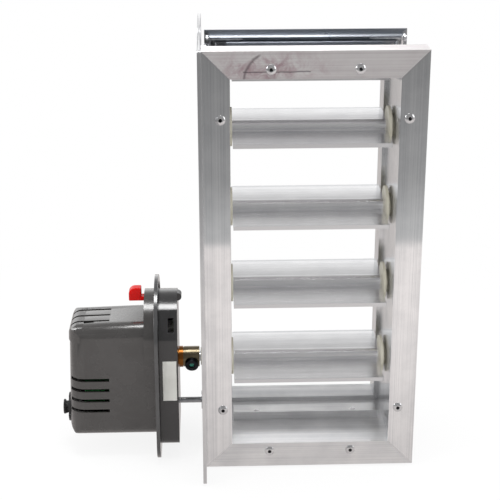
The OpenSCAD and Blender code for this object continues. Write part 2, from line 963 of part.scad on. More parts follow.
module disc_pair(i) {
  color("ivory")
    translate([0, 0, axis_z(i)])
      difference() {
        union() {
          bar_x_dir(blade_left - disc_gap - disc_t, blade_left - disc_gap, disc_r);
          bar_x_dir(blade_right + disc_gap, blade_right + disc_gap + disc_t, disc_r);
        }
        bar_x_dir(-over, frame_w + over, axle_r + hole_gap);
      }
}

module end_discs_1() {
  disc_pair(1);
}

module end_discs_2() {
  disc_pair(2);
}

module end_discs_3() {
  disc_pair(3);
}

module end_discs_4() {
  disc_pair(4);
}

module right_stub() {
  bar_x_dir(blade_right - axle_in, blade_right + axle_out, axle_r);
}

module stub_pair(i) {
  color("darkgray")
    translate([0, 0, axis_z(i)]) {
      bar_x_dir(crank_x, blade_left + axle_in, axle_r);
      right_stub();
    }
}

module axle_stubs_1() {
  stub_pair(1);
}

module axle_stubs_2() {
  stub_pair(2);
}

module axle_stubs_3() {
  stub_pair(3);
}

module axle_stub_4() {
  color("darkgray")
    translate([0, 0, axis_z(4)])
      right_stub();
}

module drive_shaft() {
  color("darkgray")
    translate([0, 0, shaft_z])
      bar_x_dir(sleeve_left, blade_left + axle_in, axle_r);
}

module bushing(face, way) {
  translate([face, 0, 0])
    mirror([(way > 0) ? 0 : 1, 0, 0])
      difference() {
        union() {
          bar_x_dir(seat_gap, bush_flange_t, bush_flange_r);
          bar_x_dir(-channel_t - bush_out, bush_flange_t, bush_r);
        }
        bar_x_dir(-cut, cut, axle_r + run_gap);
      }
}

module jamb_bushings() {
  color("white")
    for (i = [1:4])
      translate([0, 0, axis_z(i)]) {
        bushing(web_left, 1);
        bushing(web_right, -1);
      }
}

module shaft_bearing() {
  color("white")
    translate([0, 0, shaft_z])
      difference() {
        union() {
          bar_x_dir(-plate_t - plate_bush_t, -plate_t - seat_gap, plate_bush_flange_r);
          bar_x_dir(-plate_t - plate_bush_t, 0, bush_r);
        }
        bar_x_dir(-cut, cut, axle_r + run_gap);
      }
}

// Places something at the crank pin of one blade
module at_crank_pin(i) {
  translate([0, crank_l * cos(crank_angle), axis_z(i) - crank_l * sin(crank_angle)])
    children();
}

module crank(i) {
  color("slategray")
    translate([0, 0, axis_z(i)])
      rotate([-crank_angle, 0, 0])
        difference() {
          union() {
            bar_x_dir(crank_x, crank_x + crank_hub_l, crank_hub_r);
            slab(crank_x, crank_x + crank_t) {
              polygon([[0, -crank_hub_r], [crank_l, -crank_half], [crank_l, crank_half], [0, crank_hub_r]]);
              translate([crank_l, 0])
                circle(r = crank_half);
            }
          }
          bar_x_dir(-cut, cut, axle_r + hole_gap);
          translate([0, crank_l, 0])
            bar_x_dir(-cut, cut, pin_r + run_gap);
        }
}

module crank_1() {
  crank(1);
}

module crank_2() {
  crank(2);
}

module crank_3() {
  crank(3);
}

module crank_4() {
  crank(4);
}

module tie_bar() {
  low = axis_z(4) - crank_l * sin(crank_angle);
  high = axis_z(1) - crank_l * sin(crank_angle);
  y = crank_l * cos(crank_angle);
  color("gray")
    difference() {
      slab(bar_x, bar_x + bar_t) {
        translate([y - bar_half, low])
          square([2 * bar_half, high - low]);
        translate([y, low])
          circle(r = bar_half);
        translate([y, high])
          circle(r = bar_half);
      }
      for (i = [1:4])
        at_crank_pin(i)
          bar_x_dir(-cut, cut, pin_r + hole_gap);
    }
}

module link_pins() {
  tail = crank_x + crank_t + link_gap;
  color("dimgray")
    for (i = [1:4])
      at_crank_pin(i) {
        bar_x_dir(bar_x - pin_head_t, bar_x - hole_gap, pin_head_r);
        bar_x_dir(bar_x - pin_head_t, tail + pin_head_t / 2, pin_r);
        bar_x_dir(tail, tail + pin_head_t / 2, pin_head_r);
      }
}

// Outline of the housing in Y and Z about the shaft: a rounded top and a straight lower part
module drum_outline(r, down, corner) {
  translate([0, drum_up])
    circle(r = r);
  translate([-r, -down + corner])
    square([2 * r, down - corner + drum_up]);
  translate([-r + corner, -down])
    square([2 * (r - corner), corner + over]);
  for (s = [-1, 1])
    translate([s * (r - corner), -down + corner])
      circle(r = corner);
}

// The flat cut on the rounded top, with its vertical slot
module drum_flat() {
  middle = (flat_low + flat_high) / 2;
  reach = drum_r * cos((flat_high - flat_low) / 2);
  translate([0, 0, drum_up])
    rotate([-middle, 0, 0])
      translate([base_left - over, -drum_r - reach, -drum_r])
        cube([base_right - base_left + 2 * over, drum_r, 2 * drum_r]);
}

module drum_flat_slot() {
  middle = (flat_low + flat_high) / 2;
  translate([0, 0, drum_up])
    rotate([-middle, 0, 0])
      translate([base_right - flat_slot_x, -drum_r - over, -flat_slot_l / 2])
        cube([flat_slot_w, 2 * base_wall, flat_slot_l]);
}

module actuator_base() {
  color("dimgray")
    translate([0, 0, shaft_z])
      difference() {
        union() {
          slab(base_left + housing_gap, base_right)
            drum_outline(drum_r, base_down, base_corner);
          translate([base_right, ear_half, drum_up + drum_r - ear_r - over])
            rotate([90, 0, 0])
              cylinder(h = 2 * ear_half, r = ear_r);
        }
        slab(base_left - over, base_right - base_end)
          drum_outline(drum_r - base_wall, base_down - base_wall, base_corner - base_wall);
        drum_flat();
        drum_flat_slot();
        bar_x_dir(base_left, base_right + over, sleeve_r + housing_gap * 3);
        translate([0, 0, -anti_down])
          bar_x_dir(base_left, base_right + over, anti_r + hole_gap * 2);
        translate([0, wheel_a_y, wheel_a_z])
          bar_x_dir(base_right - base_end - over, base_right - base_end / 3, arbor_r);
      }
}

module hoop_plate() {
  tall = hoop_r * 2;
  color("gray")
    translate([0, 0, shaft_z])
      difference() {
        slab(hoop_left, base_left)
          difference() {
            drum_outline(hoop_r, hoop_down, hoop_corner);
            translate([0, drum_up])
              intersection() {
                difference() {
                  circle(r = hoop_in_r);
                  circle(r = drum_r + housing_gap * 5);
                }
                polygon([[0, 0], [-tall * sin(hoop_half_angle), tall * cos(hoop_half_angle)], [-tall, tall * 2],
                  [tall, tall * 2], [tall * sin(hoop_half_angle), tall * cos(hoop_half_angle)]]);
              }
          }
        translate([0, wheel_b_y, wheel_b_z])
          bar_x_dir(hoop_left - over, base_left + over, wheel_hub_r + link_gap);
        translate([0, wheel_a_y, wheel_a_z])
          bar_x_dir(hoop_left - over, base_left + over, arbor_r);
        at_cover_screws()
          bar_x_dir(hoop_left - over, base_left + over, cover_screw_r + hole_gap);
      }
}

// Outline of the cover's box seen along X between two heights, shrunk by the wall for the hollow
module cover_end_outline(in, bottom, top) {
  e = cover_edge - in;
  h = cover_half - in;
  translate([-h + e, bottom])
    square([2 * (h - e), top - bottom]);
  translate([-h, bottom + e])
    square([2 * h, top - bottom - 2 * e]);
  for (s = [-1, 1]) {
    translate([s * (h - e), top - e])
      circle(r = e);
    translate([s * (h - e), bottom + e])
      circle(r = e);
  }
}

// Outline of the box seen from above
module cover_plan(in) {
  e = cover_end - in;
  h = cover_half - in;
  left = cover_left + in;
  translate([left + e, -h])
    square([hoop_left - left - e + over, 2 * h]);
  translate([left, -h + e])
    square([hoop_left - left + over, 2 * h - 2 * e]);
  for (s = [-1, 1])
    translate([left + e, s * (h - e)])
      circle(r = e);
}

// Outline of the box seen along Y, at its left end cut to the sloping top
module cover_profile(in) {
  e = cover_end - in;
  t = cover_end_top - in;
  left = cover_left + in;
  low = -cover_down + in;
  high = cover_up - (hoop_left - left - t) * tan(cover_slope) - in;
  translate([left + e, low])
    square([hoop_left - left - e + over, high - t - low]);
  translate([left, low + e])
    square([hoop_left - left + over, high - t - low - e]);
  translate([left + t, low + e])
    square([hoop_left - left - t + over, cover_up + cover_edge - low - e]);
  translate([left + e, low + e])
    circle(r = e);
  translate([left + t, high - t])
    circle(r = t);
}

module cover_box(in) {
  far = cover_half * 2;
  intersection() {
    slab(cover_left + in, hoop_left + over)
      cover_end_outline(in, -cover_down + in, cover_up + far);
    translate([hoop_left, 0, cover_up])
      rotate([0, -cover_slope, 0])
        slab(cover_left - hoop_left - far, far)
          cover_end_outline(in, -cover_up - cover_down - far, -in);
    translate([0, cut / 2, 0])
      rotate([90, 0, 0])
        linear_extrude(height = cut)
          cover_profile(in);
    translate([0, 0, -cut / 2])
      linear_extrude(height = cut)
        cover_plan(in);
  }
}

// Flare between the collar and the box, seen along X
module cover_flare(in) {
  r = drum_r - flare_step - in;
  h = cover_half - in;
  polygon([[-r, drum_up], [-h, -flare_down], [h, -flare_down], [r, drum_up]]);
}

// Places something at each cover screw
module at_cover_screws() {
  for (s = [-1, 1]) {
    translate([0, s * cover_screw_y, cover_screw_up])
      children();
    translate([0, s * cover_screw_y_low, -cover_screw_down])
      children();
  }
}

// The arc slot in the collar that the lever moves in
module lever_slot() {
  reach = drum_r * 2;
  back = lever_travel + asin((lever_half + lever_gap) / lever_low);
  front = asin((lever_half + lever_gap) / lever_low);
  translate([0, 0, drum_up])
    slab(collar_left - over, collar_left + cover_wall + over)
      intersection() {
        difference() {
          circle(r = lever_high + lever_gap);
          circle(r = lever_low - lever_gap);
        }
        polygon([[0, 0], [-reach * sin(front), reach * cos(front)], [0, reach * 2],
          [reach * sin(back), reach * cos(back)]]);
      }
}

module actuator_cover() {
  color("gray")
    translate([0, 0, shaft_z])
      difference() {
        union() {
          cover_box(0);
          slab(collar_left, hoop_left - housing_gap)
            translate([0, drum_up])
              circle(r = drum_r);
          slab(collar_left, hoop_left - housing_gap)
            cover_flare(0);
        }
        difference() {
          union() {
            cover_box(cover_wall);
            slab(collar_left + cover_wall, hoop_left + over)
              translate([0, drum_up])
                circle(r = drum_r - cover_wall);
            slab(collar_left + cover_wall, hoop_left + over)
              cover_flare(cover_wall);
          }
          at_cover_screws()
            bar_x_dir(hoop_left - cover_boss_l, hoop_left + over, cover_boss_r);
        }
        slab(hoop_left - housing_gap, hoop_left + 2 * over)
          translate([-cut / 2, -cut / 2])
            square([cut, cut]);
        for (k = [0:3])
          translate([vent_left, -cover_half - over, -vent_first - k * vent_pitch - vent_w / 2])
            cube([vent_l, vent_deep + over, vent_w]);
        for (k = [0:3])
          translate([vent_left, cover_half - vent_deep, -vent_first - k * vent_pitch - vent_w / 2])
            cube([vent_l, vent_deep + over, vent_w]);
        for (k = [-1:1])
          translate([vent_left, k * top_vent_pitch - vent_w / 2, cover_up - vent_deep])
            cube([vent_l, vent_w, vent_deep + over]);
        translate([0, 0, -entry_down])
          bar_x_dir(cover_left - over, cover_left + cover_wall + entry_in + over, entry_r + hole_gap);
        lever_slot();
        at_cover_screws()
          bar_x_dir(hoop_left - cover_boss_l - over, hoop_left + over, cover_screw_r + hole_gap);
      }
}

// Screws from inside the base through the hoop plate into the cover's bosses
module cover_screws() {
  head = base_left + hole_gap;
  color("silver")
    translate([0, 0, shaft_z])
      at_cover_screws()
        difference() {
          union() {
            bar_x_dir(head, head + cover_head_h, cover_head_r);
            bar_x_dir(hoop_left - cover_boss_l + screw_point / 2, head + cover_head_h, cover_screw_r);
          }
          bar_x_dir(head + cover_head_h / 2, head + cover_head_h + over, cover_screw_r);
        }
}

module label() {
  color("white")
    translate([label_right - label_w, -drum_r - label_t, shaft_z + label_top - label_h])
      cube([label_w, label_t, label_h]);
}

module at_set_screw() {
  translate([set_x, 0, shaft_z])
    rotate([90 + set_angle, 0, 0])
      children();
}

module drive_hub() {
  color("goldenrod")
    difference() {
      translate([0, 0, shaft_z]) {
        bar_x_dir(sleeve_left, ring_left, sleeve_r);
        bar_x_dir(ring_left, ring_right, hub_ring_r);
        bar_x_dir(ring_right, neck_right, hub_neck_r);
        bar_x_dir(neck_right, hub_right, hub_r);
      }
      translate([0, 0, shaft_z])
        bar_x_dir(-cut, cut, axle_r + hole_gap);
      at_set_screw()
        cylinder(h = set_top, r = set_r + hole_gap);
    }
}

module hub_set_screw() {
  s = set_socket / cos(30);
  color("black")
    at_set_screw()
      difference() {
        union() {
          translate([0, 0, axle_r + hole_gap])
            cylinder(h = set_top - axle_r - hole_gap, r = set_r);
          translate([0, 0, set_seat])
            cylinder(h = set_top - set_seat, r = set_head_r);
        }
        translate([0, 0, set_top - set_socket_deep])
          linear_extrude(height = set_socket_deep + over)
            polygon([for (k = [0:5]) [s * cos(60 * k), s * sin(60 * k)]]);
      }
}

// One spur gear outline with straight-sided teeth
function tooth_point(n, k, r, share) = [r * cos(360 / n * (k + share)), r * sin(360 / n * (k + share))];

function gear_points(n, tip, root) = [for (k = [0:n - 1]) each [
  tooth_point(n, k, root, -root_share / 2), tooth_point(n, k, tip, -tip_share / 2),
  tooth_point(n, k, tip, tip_share / 2), tooth_point(n, k, root, root_share / 2)]];

module spur(n, from, thick, turn) {
  r = tooth_module * n / 2;
  slab(from, from + thick)
    rotate(turn)
      polygon(gear_points(n, r + tooth_module * tip_h_share, r - tooth_module * root_h_share));
}

dist_out_a = tooth_module * (teeth_out + teeth_pin) / 2;
dist_a_b = tooth_module * (teeth_a + teeth_pin) / 2;
wheel_a_y = 0;
wheel_a_z = dist_out_a;
wheel_b_y = dist_a_b * cos(train_angle);
wheel_b_z = dist_out_a + dist_a_b * sin(train_angle);
motor_angle = atan2(motor_up - wheel_b_z, motor_y - wheel_b_y);
half_tooth = 180 / teeth_pin;

module output_gear() {
  color("white")
    translate([0, 0, shaft_z])
      difference() {
        spur(teeth_out, out_x, out_t, out_turn);
        bar_x_dir(-cut, cut, sleeve_r + hole_gap);
      }
}

module gear_wheel_a() {
  color("white")
    translate([0, wheel_a_y, shaft_z + wheel_a_z])
      difference() {
        union() {
          spur(teeth_pin, wheel_a_x + over, out_x + out_t - wheel_a_x - over, out_turn + 180 + half_tooth);
          spur(teeth_a, wheel_a_x, wheel_t, train_angle);
        }
        bar_x_dir(-cut, cut, arbor_r + run_gap);
      }
}

module gear_wheel_b() {
  color("white")
    translate([0, wheel_b_y, shaft_z + wheel_b_z])
      difference() {
        union() {
          spur(teeth_pin, wheel_a_x - link_gap, wheel_t + 2 * link_gap, train_angle + 180 + half_tooth);
          bar_x_dir(wheel_b_x, wheel_a_x + wheel_t, wheel_hub_r);
          spur(teeth_b, wheel_b_x, wheel_t, motor_angle);
        }
        bar_x_dir(-cut, cut, arbor_r + run_gap);
      }
}

module gear_arbors() {
  right = base_right - base_end / 2;
  color("silver")
    translate([0, 0, shaft_z]) {
      translate([0, wheel_a_y, wheel_a_z])
        bar_x_dir(base_left + housing_gap, right, arbor_r);
      translate([0, wheel_b_y, wheel_b_z])
        bar_x_dir(motor_plate_x - motor_plate_t, out_x - link_gap, arbor_r);
    }
}

module motor_pinion() {
  color("silver")
    translate([0, motor_y, shaft_z + motor_up])
      union() {
        spur(teeth_pin, wheel_b_x - link_gap, wheel_t + 2 * link_gap, motor_angle + 180 + half_tooth);
        bar_x_dir(motor_plate_x - motor_plate_t, wheel_b_x, motor_shaft_r);
      }
}

module motor() {
  face = motor_plate_x - motor_plate_t - housing_gap;
  color("silver")
    translate([0, motor_y, shaft_z + motor_up])
      difference() {
        union() {
          bar_x_dir(face - motor_l, face, motor_r);
          bar_x_dir(face - motor_l, motor_plate_x, motor_boss_r);
        }
        bar_x_dir(motor_plate_x - motor_plate_t - over, motor_plate_x + over, motor_shaft_r + run_gap);
      }
}

module motor_plate() {
  color("lightgray")
    translate([0, 0, shaft_z])
      difference() {
        union() {
          slab(motor_plate_x - motor_plate_t, motor_plate_x)
            translate([-motor_plate_half, -motor_plate_down])
              square([2 * motor_plate_half, motor_plate_down + motor_plate_up]);
          translate([0, 0, drum_up])
            bar_x_dir(motor_plate_x - motor_plate_t, lever_inner + lever_t + link_gap, post_r);
          for (s = [-1, 1]) {
            translate([0, s * (motor_plate_half - pillar_in), motor_plate_up - pillar_in])
              bar_x_dir(motor_plate_x - motor_plate_t, hoop_left - housing_gap, pillar_r);
            translate([0, s * (motor_plate_half - pillar_in), -motor_plate_down + pillar_in])
              bar_x_dir(motor_plate_x - motor_plate_t, hoop_left - housing_gap, pillar_r);
          }
        }
        translate([0, motor_y, motor_up])
          bar_x_dir(-cut, cut, motor_boss_r + hole_gap);
        translate([0, wheel_b_y, wheel_b_z])
          bar_x_dir(-cut, cut, arbor_r);
      }
}

// Outline of the lever's tab in X and Z about its pivot
module lever_tab_outline() {
  wide = lever_tab_right - lever_left;
  translate([lever_left, lever_low])
    square([wide, lever_top - lever_round - lever_low]);
  translate([lever_left + lever_round, lever_low])
    square([wide - lever_round, lever_top - lever_low]);
  translate([lever_left + lever_round, lever_top - lever_round])
    circle(r = lever_round);
}

module manual_lever() {
  inner = lever_inner;
  color("red")
    translate([0, 0, shaft_z + drum_up])
      difference() {
        union() {
          bar_x_dir(inner, inner + lever_t, lever_hub_r);
          translate([inner, -lever_half, 0])
            cube([lever_t, 2 * lever_half, lever_high - over]);
          translate([lever_left, -lever_half, lever_low])
            cube([inner + lever_t - lever_left, 2 * lever_half, lever_high - lever_low - over]);
          translate([0, lever_half, 0])
            rotate([90, 0, 0])
              linear_extrude(height = 2 * lever_half)
                lever_tab_outline();
        }
        bar_x_dir(-cut, cut, post_r + run_gap);
      }
}

module circuit_board() {
  color("green")
    union() {
      translate([board_left, board_y, shaft_z - board_down])
        cube([board_right - board_left, board_t, board_down + board_up]);
      for (x = [board_left + board_post_in, board_right - board_post_in])
        for (z = [-board_down + board_post_in, board_up - board_post_in])
          translate([x, board_y + over, shaft_z + z])
            rotate([-90, 0, 0])
              cylinder(h = cover_half - cover_wall - board_y - over - housing_gap, r = board_post_r);
    }
}

module terminal_block() {
  color("lightgreen")
    translate([board_left, board_y - housing_gap - block_y, shaft_z - board_down])
      cube([block_x, block_y, block_z]);
}

module wire_entry() {
  nut = cover_left - entry_nut_t;
  color("gray")
    translate([0, 0, shaft_z - entry_down])
      difference() {
        union() {
          bar_x_dir(cover_left - entry_out, cover_left + cover_wall + entry_in, entry_r);
          bar_x_dir(nut, cover_left - housing_gap, entry_flange_r);
        }
        bar_x_dir(-cut, cut, entry_bore_r);
        for (k = [0:5])
          rotate([60 * k, 0, 0])
            translate([0, entry_flange_r + entry_grip_r / 3, 0])
              bar_x_dir(nut - over, cover_left, entry_grip_r);
      }
}

module anti_rotation_pin() {
  color("silver")
    translate([0, 0, shaft_z - anti_down]) {
      bar_x_dir(anti_left, anti_nut_t + link_gap, anti_r);
      bar_x_dir(-plate_t - anti_washer_t, -plate_t - housing_gap, anti_washer_r);
    }
}

module pin_nut() {
  s = anti_nut / cos(30);
  color("silver")
    translate([0, 0, shaft_z - anti_down])
      difference() {
        slab(housing_gap, anti_nut_t)
          polygon([for (k = [0:5]) [s * cos(60 * k), s * sin(60 * k)]]);
        bar_x_dir(-cut, cut, anti_r + hole_gap);
      }
}

top_channel();
bottom_channel();
left_jamb();
right_jamb();
face_angle_top();
face_angle_bottom();
face_angle_left();
face_angle_right();
face_rivets();
corner_screws();
mounting_plate();
plate_packer();
plate_screws();
top_stop();
bottom_stop();
stop_rivets();
jamb_bushings();
shaft_bearing();
blade_1();
blade_2();
blade_3();
blade_4();
end_discs_1();
end_discs_2();
end_discs_3();
end_discs_4();
axle_stubs_1();
axle_stubs_2();
axle_stubs_3();
axle_stub_4();
drive_shaft();
crank_1();
crank_2();
crank_3();
crank_4();
tie_bar();
link_pins();
actuator_base();
hoop_plate();
actuator_cover();
cover_screws();
drive_hub();
hub_set_screw();
output_gear();
gear_wheel_a();
gear_wheel_b();
gear_arbors();
motor();
motor_plate();
motor_pinion();
manual_lever();
circuit_board();
terminal_block();
wire_entry();
label();
anti_rotation_pin();
pin_nut();
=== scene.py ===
import bpy
import bmesh
import json
import math
from mathutils import Matrix, Vector


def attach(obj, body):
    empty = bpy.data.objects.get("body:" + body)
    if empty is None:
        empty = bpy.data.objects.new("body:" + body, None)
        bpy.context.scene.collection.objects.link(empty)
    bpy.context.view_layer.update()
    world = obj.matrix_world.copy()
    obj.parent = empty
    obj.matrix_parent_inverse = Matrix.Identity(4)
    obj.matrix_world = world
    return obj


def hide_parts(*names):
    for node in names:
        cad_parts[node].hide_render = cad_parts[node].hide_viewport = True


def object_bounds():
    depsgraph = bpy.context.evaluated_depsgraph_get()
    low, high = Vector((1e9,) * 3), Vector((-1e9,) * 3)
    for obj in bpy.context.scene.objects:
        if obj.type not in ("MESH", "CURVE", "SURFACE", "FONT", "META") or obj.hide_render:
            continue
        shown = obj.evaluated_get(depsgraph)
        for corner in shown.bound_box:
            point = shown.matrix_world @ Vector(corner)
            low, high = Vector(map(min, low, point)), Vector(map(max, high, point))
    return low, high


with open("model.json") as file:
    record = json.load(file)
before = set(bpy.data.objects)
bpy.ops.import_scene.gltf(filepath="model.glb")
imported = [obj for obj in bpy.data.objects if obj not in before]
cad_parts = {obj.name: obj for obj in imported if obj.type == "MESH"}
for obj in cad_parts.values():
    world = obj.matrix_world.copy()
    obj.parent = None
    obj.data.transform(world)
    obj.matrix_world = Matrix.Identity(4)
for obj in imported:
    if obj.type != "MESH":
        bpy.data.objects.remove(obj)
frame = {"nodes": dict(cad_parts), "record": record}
cad_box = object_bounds()
nodes = frame["nodes"]
scene = bpy.context.scene
body_of = {node: body for body, members in frame["record"]["behaviour"]["bodies"].items() for node in members}

# Lengths on the damper are in millimetres, from the CAD's origin, and times mm they are Blender's metres.

mm = 0.001
shaft_z = -113.3
frame_mid_x, frame_mid_z = 98.5, -2.0
face_y = -60.0
floor_z = cad_box[0].z

# The camera stands 1.14 m in front of the damper and 0.41 m above its middle, and looks 20 degrees down.

camera_x, camera_y, camera_z = 4.7, -1138.3, 411.1
yaw, pitch, roll = math.radians(1.962), math.radians(20.015), math.radians(0.089)
ahead = Vector((math.sin(yaw) * math.cos(pitch), math.cos(yaw) * math.cos(pitch), -math.sin(pitch)))
across = Vector((math.cos(yaw), -math.sin(yaw), 0))
down = ahead.cross(across)
right = math.cos(roll) * across + math.sin(roll) * down
low = -math.sin(roll) * across + math.cos(roll) * down
camera = bpy.data.objects.new("camera", bpy.data.cameras.new("camera"))
camera.data.lens = 92.0
camera.data.sensor_width = 36
camera.data.clip_start = 0.05
camera.data.clip_end = 60
camera.matrix_world = Matrix((
    (right.x, -low.x, -ahead.x, camera_x * mm),
    (right.y, -low.y, -ahead.y, camera_y * mm),
    (right.z, -low.z, -ahead.z, camera_z * mm),
    (0, 0, 0, 1)))
scene.collection.objects.link(camera)
scene.camera = camera


def linear(hex_code):
    """An sRGB hex colour as the linear RGBA that a shader wants."""
    parts = [int(hex_code[i:i + 2], 16) / 255 for i in (1, 3, 5)]
    return [c / 12.92 if c <= 0.04045 else ((c + 0.055) / 1.055) ** 2.4 for c in parts] + [1.0]


def add_node(tree, kind, settings=None, links=None):
    """Adds a shader node, sets its properties and sockets, and links its sockets to others. A socket is
    called by name or number: a Mix has its share at 0, its floats at 2 and 3, and its colours at 6 and 7."""
    made = tree.nodes.new("ShaderNode" + kind)
    for key, value in (settings or {}).items():
        if isinstance(key, str) and hasattr(made, key):
            setattr(made, key, value)
        else:
            made.inputs[key].default_value = value
    for key, source in (links or {}).items():
        tree.links.new(source, made.inputs[key])
    return made


def new_material(name):
    """Starts a material: gives it, its emptied tree, and the Object coordinates that its patterns read."""
    made = bpy.data.materials.new(name)
    made.use_nodes = True
    tree = made.node_tree
    tree.nodes.clear()
    return made, tree, add_node(tree, "TexCoord").outputs["Object"]


def end_in_shader(tree, settings, links):
    """Ends a material in its shader, with what is the same all over set on the shader's own sockets."""
    shader = add_node(tree, "BsdfPrincipled", settings, links)
    add_node(tree, "OutputMaterial", {}, {"Surface": shader.outputs[0]})


def rear_camber(tree, spot, crown):
    """The rear half of a blade rises from its boss and flattens towards its lip, with a curvature in 1/m."""
    lip_y = 33 * mm
    split = add_node(tree, "SeparateXYZ", {}, {0: spot})
    rear = add_node(tree, "Math", {"operation": "MAXIMUM", 1: 0.0}, {0: split.outputs["Y"]})
    slope = add_node(tree, "Math", {"operation": "MULTIPLY_ADD", 1: -crown / 2, 2: crown * lip_y},
                     {0: rear.outputs[0]})
    sag = add_node(tree, "Math", {"operation": "MULTIPLY"}, {0: slope.outputs[0], 1: rear.outputs[0]})
    return add_node(tree, "Bump", {"Strength": 1.0, "Distance": 1.0}, {"Height": sag.outputs[0]}).outputs[0]


def mill_aluminium(name, run, light="#f0f0f1", dull="#d6d7d9", rough=0.24, patchy=0.05, crown=0.0,
                   marks=None):
    """Extruded aluminium left as it leaves the die: fine draw lines along its run, so that it mirrors
    sharply along them and smears across them, and cloudy marks from handling."""
    made, tree, spot = new_material(name)
    # draw lines 0.9 mm apart and about 250 mm long, coarser than the real 0.1 mm so that they show, and
    # bands left by the die's bearing, about 7 mm wide and 400 mm long
    streaks = []
    for wide, long, noise in ((0.9, 250, {"Detail": 3.0, "Roughness": 0.65}), (7, 400, {"Detail": 2.0})):
        stretch = [1 / (wide * mm)] * 3
        stretch["XYZ".index(run)] = 1 / (long * mm)
        drawn_at = add_node(tree, "Mapping", {"Scale": stretch}, {"Vector": spot})
        drawn = add_node(tree, "TexNoise", {"Scale": 1.0, **noise}, {"Vector": drawn_at.outputs[0]})
        streaks.append(drawn.outputs["Fac"])
    lines, bands = streaks
    # handling marks about 25 mm wide
    handled = {"Scale": 1 / (25 * mm), "Detail": 6.0, "Roughness": 0.62}
    cloud = add_node(tree, "TexNoise", handled, {"Vector": spot}).outputs["Fac"]
    band_share, cloud_share = 0.7, 0.8
    both = add_node(tree, "Math", {"operation": "MULTIPLY_ADD", 1: band_share}, {0: bands, 2: lines})
    spread = add_node(tree, "Math", {"operation": "MULTIPLY_ADD", 1: cloud_share},
                      {0: cloud, 2: both.outputs[0]})
    share = add_node(tree, "MapRange", {"From Min": 0.95, "From Max": 1.5}, {"Value": spread.outputs[0]})
    colour = add_node(tree, "Mix", {"data_type": "RGBA", 6: linear(dull), 7: linear(light)},
                      {0: share.outputs[0]}).outputs[2]
    if marks:
        colour = marks(tree, spot, colour)
    dulled = add_node(tree, "MapRange", {"From Min": 0.3, "From Max": 0.7, "To Min": rough + patchy,
                                         "To Max": rough - 0.6 * patchy}, {"Value": cloud})
    bump = add_node(tree, "Bump", {"Strength": 0.10, "Distance": 0.05 * mm}, {"Height": lines})
    if crown:
        tree.links.new(rear_camber(tree, spot, crown), bump.inputs["Normal"])
    grain = add_node(tree, "Tangent", {"direction_type": "RADIAL", "axis": run})
    end_in_shader(tree, {"Metallic": 1.0, "Anisotropic": 0.93},
                  {"Base Color": colour, "Roughness": dulled.outputs[0], "Normal": bump.outputs[0],
                   "Tangent": grain.outputs[0]})
    return made


def water_stain(tree, spot, blot, under):
    """A pinkish stain 90 mm long and 27 mm high, its middle 55 mm along and 183 mm up."""
    per_metre, middle = (22.0, 0.0, 75.0), (-1.21, 0, -13.7)
    stain_at = add_node(tree, "Mapping", {"Location": middle, "Scale": per_metre}, {"Vector": spot})
    far = add_node(tree, "VectorMath", {"operation": "LENGTH"}, {0: stain_at.outputs[0]})
    near = add_node(tree, "MapRange", {"From Min": 1.5, "From Max": 0.4}, {"Value": far.outputs["Value"]})
    patch = add_node(tree, "MapRange", {"From Min": 0.42, "From Max": 0.66}, {"Value": blot})
    stain = add_node(tree, "Math", {"operation": "MULTIPLY"}, {0: near.outputs[0], 1: patch.outputs[0]})
    return add_node(tree, "Mix", {"data_type": "RGBA", 7: linear("#c7adb4")},
                    {0: stain.outputs[0], 6: under}).outputs[2]


def rub_mark(tree, spot, blot, along_face, under):
    """A rub mark 3 mm wide, the upper left part of an arc of 23 mm radius, that wavers with the blots."""
    arc_x, arc_z, reach, waver = 59.5, 172.5, 25.5, 5
    end_x, fade = 52, 3
    arc_at = add_node(tree, "Mapping", {"Location": (-arc_x * mm, 0, -arc_z * mm), "Scale": (1, 0, 1)},
                      {"Vector": spot})
    far = add_node(tree, "VectorMath", {"operation": "LENGTH"}, {0: arc_at.outputs[0]})
    wave = add_node(tree, "Math", {"operation": "MULTIPLY_ADD", 1: waver * mm},
                    {0: blot, 2: far.outputs["Value"]})
    off = add_node(tree, "Math", {"operation": "SUBTRACT", 1: reach * mm}, {0: wave.outputs[0]})
    off_by = add_node(tree, "Math", {"operation": "ABSOLUTE"}, {0: off.outputs[0]})
    line = add_node(tree, "MapRange", {"From Min": 1.6 * mm, "From Max": 0.2 * mm, "To Max": 0.7},
                    {"Value": off_by.outputs[0]})
    side = add_node(tree, "MapRange", {"From Min": end_x * mm, "From Max": (end_x - fade) * mm},
                    {"Value": along_face})
    arc = add_node(tree, "Math", {"operation": "MULTIPLY"}, {0: line.outputs[0], 1: side.outputs[0]})
    return add_node(tree, "Mix", {"data_type": "RGBA", 7: linear("#7a6a70")},
                    {0: arc.outputs[0], 6: under}).outputs[2]


def long_scratch(tree, blot, along_face, up_face, under):
    """A scratch about 1 mm wide and 58 mm long, nearly level, through the left rivet."""
    scratch_z, wander, middle_x, half_length = 181.2, 2.5, 65, 29
    wandered = add_node(tree, "Math", {"operation": "MULTIPLY_ADD", 1: wander * mm}, {0: blot, 2: up_face})
    off = add_node(tree, "Math", {"operation": "SUBTRACT", 1: scratch_z * mm}, {0: wandered.outputs[0]})
    off_by = add_node(tree, "Math", {"operation": "ABSOLUTE"}, {0: off.outputs[0]})
    line = add_node(tree, "MapRange", {"From Min": 0.7 * mm, "From Max": 0.2 * mm, "To Max": 0.75},
                    {"Value": off_by.outputs[0]})
    within = add_node(tree, "Math", {"operation": "COMPARE", 1: middle_x * mm, 2: half_length * mm},
                      {0: along_face})
    scratch = add_node(tree, "Math", {"operation": "MULTIPLY"}, {0: line.outputs[0], 1: within.outputs[0]})
    return add_node(tree, "Mix", {"data_type": "RGBA", 7: linear("#71666a")},
                    {0: scratch.outputs[0], 6: under}).outputs[2]


